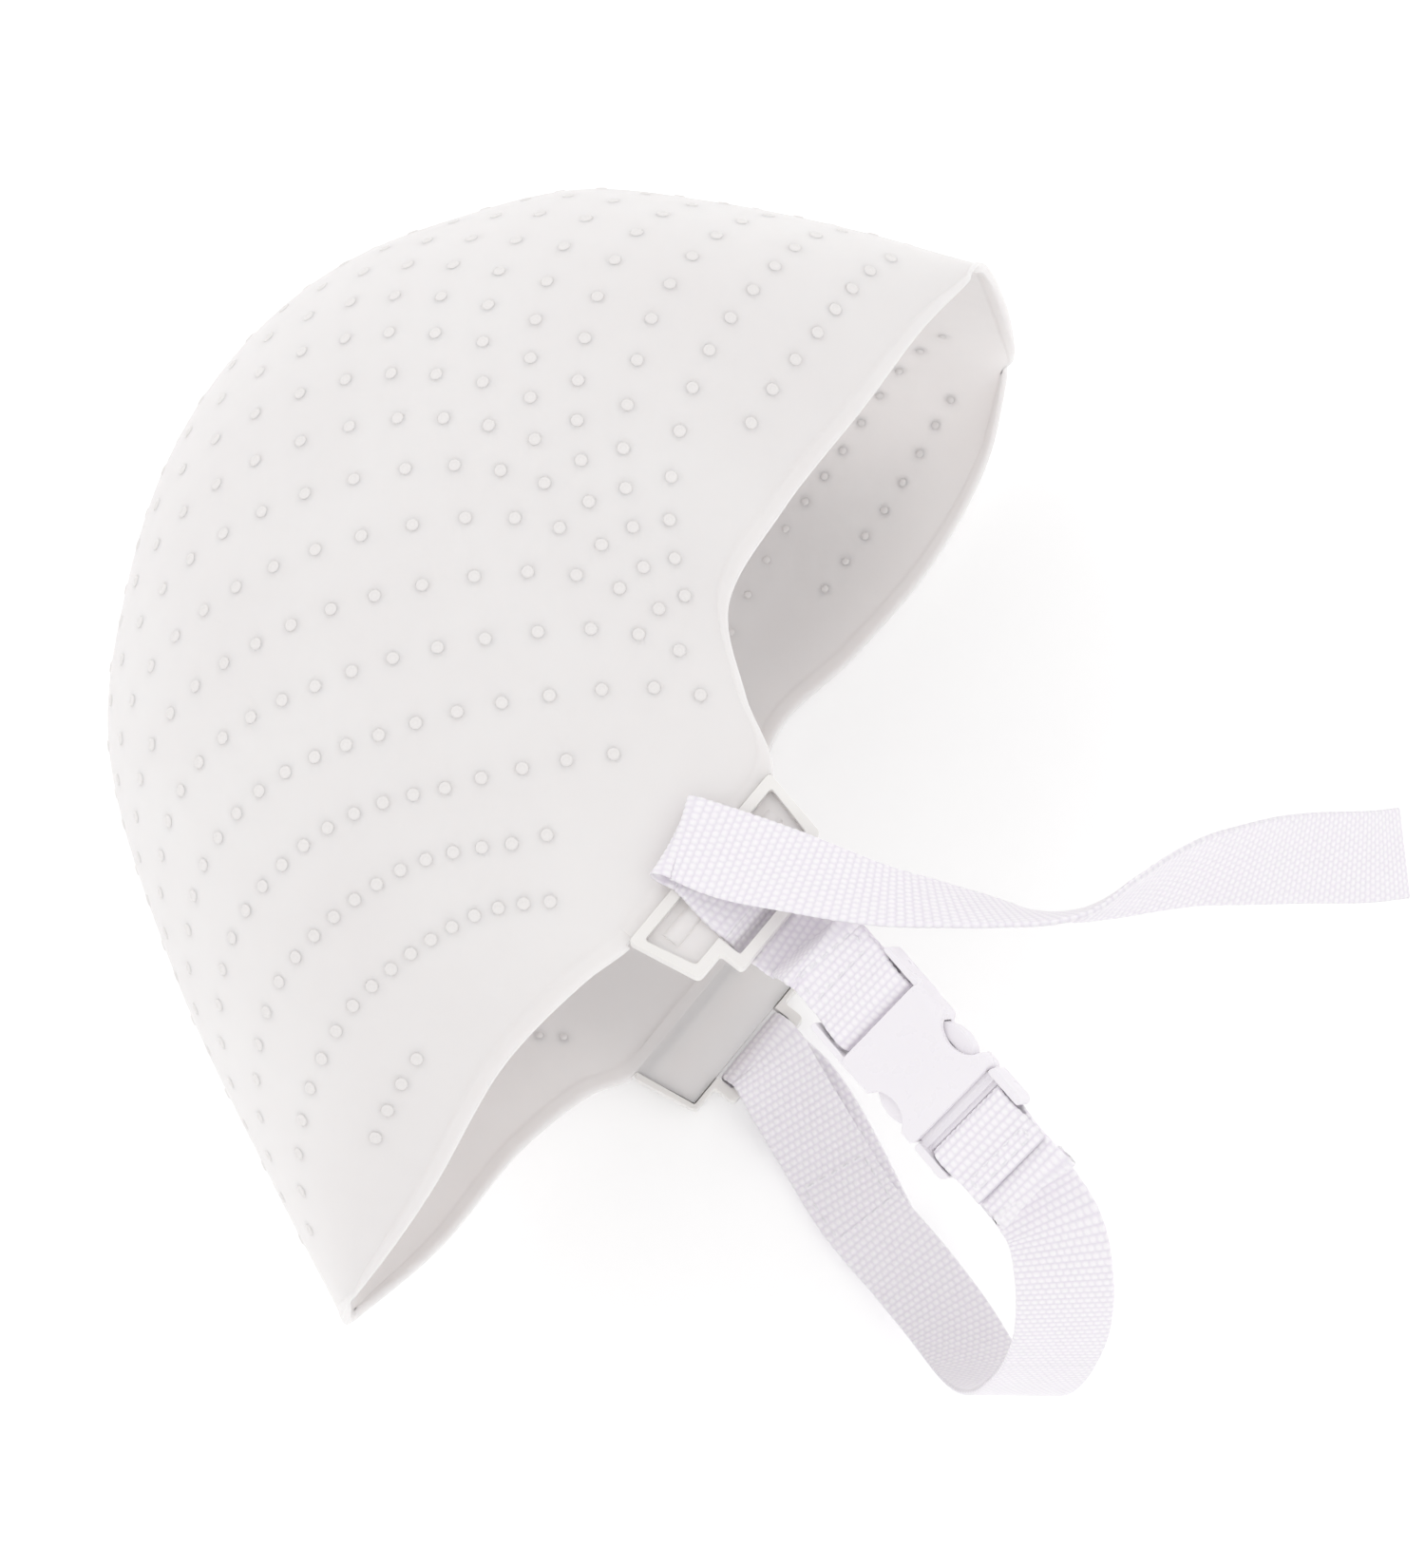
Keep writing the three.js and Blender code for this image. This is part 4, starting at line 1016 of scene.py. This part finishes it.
def moulded(name, node, piece, matrix, material, rounds):
    """Softens a solid's edges by remeshing and smoothing it, and puts it in place of a CAD node."""
    remesh = piece.modifiers.new("even", "REMESH")
    remesh.mode = "VOXEL"
    remesh.voxel_size = VOXEL * MM
    soften = piece.modifiers.new("soften", "SMOOTH")
    soften.factor = 0.5
    soften.iterations = rounds
    applied(piece)
    in_metres = matrix.copy()
    in_metres.translation = matrix.translation * MM
    piece.data.transform(in_metres)
    piece.name = piece.data.name = name
    piece.data.materials.clear()
    piece.data.materials.append(material)
    shade_smooth(piece.data)
    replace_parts(piece, node)
    return piece


# ---- build ----
add_camera()
floor = add_studio()
silicone = silicone_material("milky_silicone", 0.85, (0.775, 0.745, 0.74), (0.815, 0.788, 0.78))
pit_silicone = silicone_material("silicone_pits", 0.0, (0.83, 0.805, 0.795), (0.86, 0.835, 0.825))
frame_plastic = plastic_material("cream_moulding", (0.86, 0.84, 0.815), (0.9, 0.88, 0.86), 0.42, 0.1)
buckle_plastic = plastic_material("satin_moulding", (0.89, 0.86, 0.9), (0.905, 0.875, 0.91), 0.3, 0.06)
webbing = webbing_material()
thread = thread_material()
floor.data.materials.append(floor_material())

shell = silicone_cap()
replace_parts(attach(shell, "root"), "cap_shell")
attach(cap_pits(), "root")

for name, node, body, shape, matrix, material, rounds in [
    ("near_frame", "near_strap_frame", "root", strap_frame(), near_matrix, frame_plastic, 7),
    ("far_frame", "far_strap_frame", "root", strap_frame(), far_matrix, frame_plastic, 7),
    ("socket_body", "buckle_socket", "socket", socket_body(), buckle_matrix, buckle_plastic, 7),
    ("plug_base", "buckle_plug", "plug", plug_base(), buckle_matrix, buckle_plastic, 6),
    ("prong_left", "left_prong", "left_prong", prong(1), buckle_matrix, buckle_plastic, 5),
    ("prong_right", "right_prong", "right_prong", prong(-1), buckle_matrix, buckle_plastic, 5),
]:
    piece = moulded(name, node, shape, matrix, material, rounds)
    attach(piece, body)

front = Strap(front_stations())
fold_middle = front.at_station[FOLD_STATION]
front.width = 1 - FOLD_PINCH * np.exp(-((front.u - fold_middle) / PINCH_RUN) ** 2)
front_split = front.row_at(front.at_station[TAIL_STATION])
front_run = strap_piece("front_strap_run", front, 0, front_split)
front_tail = strap_piece("front_strap_tail", front, front_split, len(front.u) - 1)
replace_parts(front_run, "front_strap")
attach(front_tail, "root")

back = Strap(back_stations())
junction_row = back.row_at(back.at_station[FIRST_BEND + JUNCTION])
back_near = strap_piece("back_strap_near_leg", back, 0, junction_row)
back_far = strap_piece("back_strap_far_leg", back, junction_row, len(back.u) - 1)
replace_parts(back_near, "back_strap")

front_seam = joined(box_seam(front, front.at_station[0] + SEAM_INSET, front.at_station[1], -1)
                    + box_seam(front, front.at_station[12] + 0.5, front.at_station[14] - SEAM_INSET, -1))
front_stitches = new_piece("front_lap_stitches", *front_seam, thread)
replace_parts(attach(front_stitches, "socket"), "front_lap_seam")
plug_seam = joined(box_seam(back, back.at_station[0] + SEAM_INSET, back.at_station[2] - 0.2, -1)
                   + box_seam(back, back.at_station[12] - 1.8, back.at_station[12] + 0.9, -1))
plug_stitches = new_piece("plug_lap_stitches", *plug_seam, thread)
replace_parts(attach(plug_stitches, "plug"), "plug_lap_seam")
far_seam_end = back.at_station[FIRST_BEND + len(BEND_RUN)] - 5
far_seam = joined(box_seam(back, far_seam_end - 13, far_seam_end, -1))
far_stitches = new_piece("far_lap_stitches", *far_seam, thread)
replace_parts(far_stitches, "far_lap_seam")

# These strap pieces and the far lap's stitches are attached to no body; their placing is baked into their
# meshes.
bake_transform(front_run)
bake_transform(back_far)
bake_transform(far_stitches)
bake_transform(back_near)
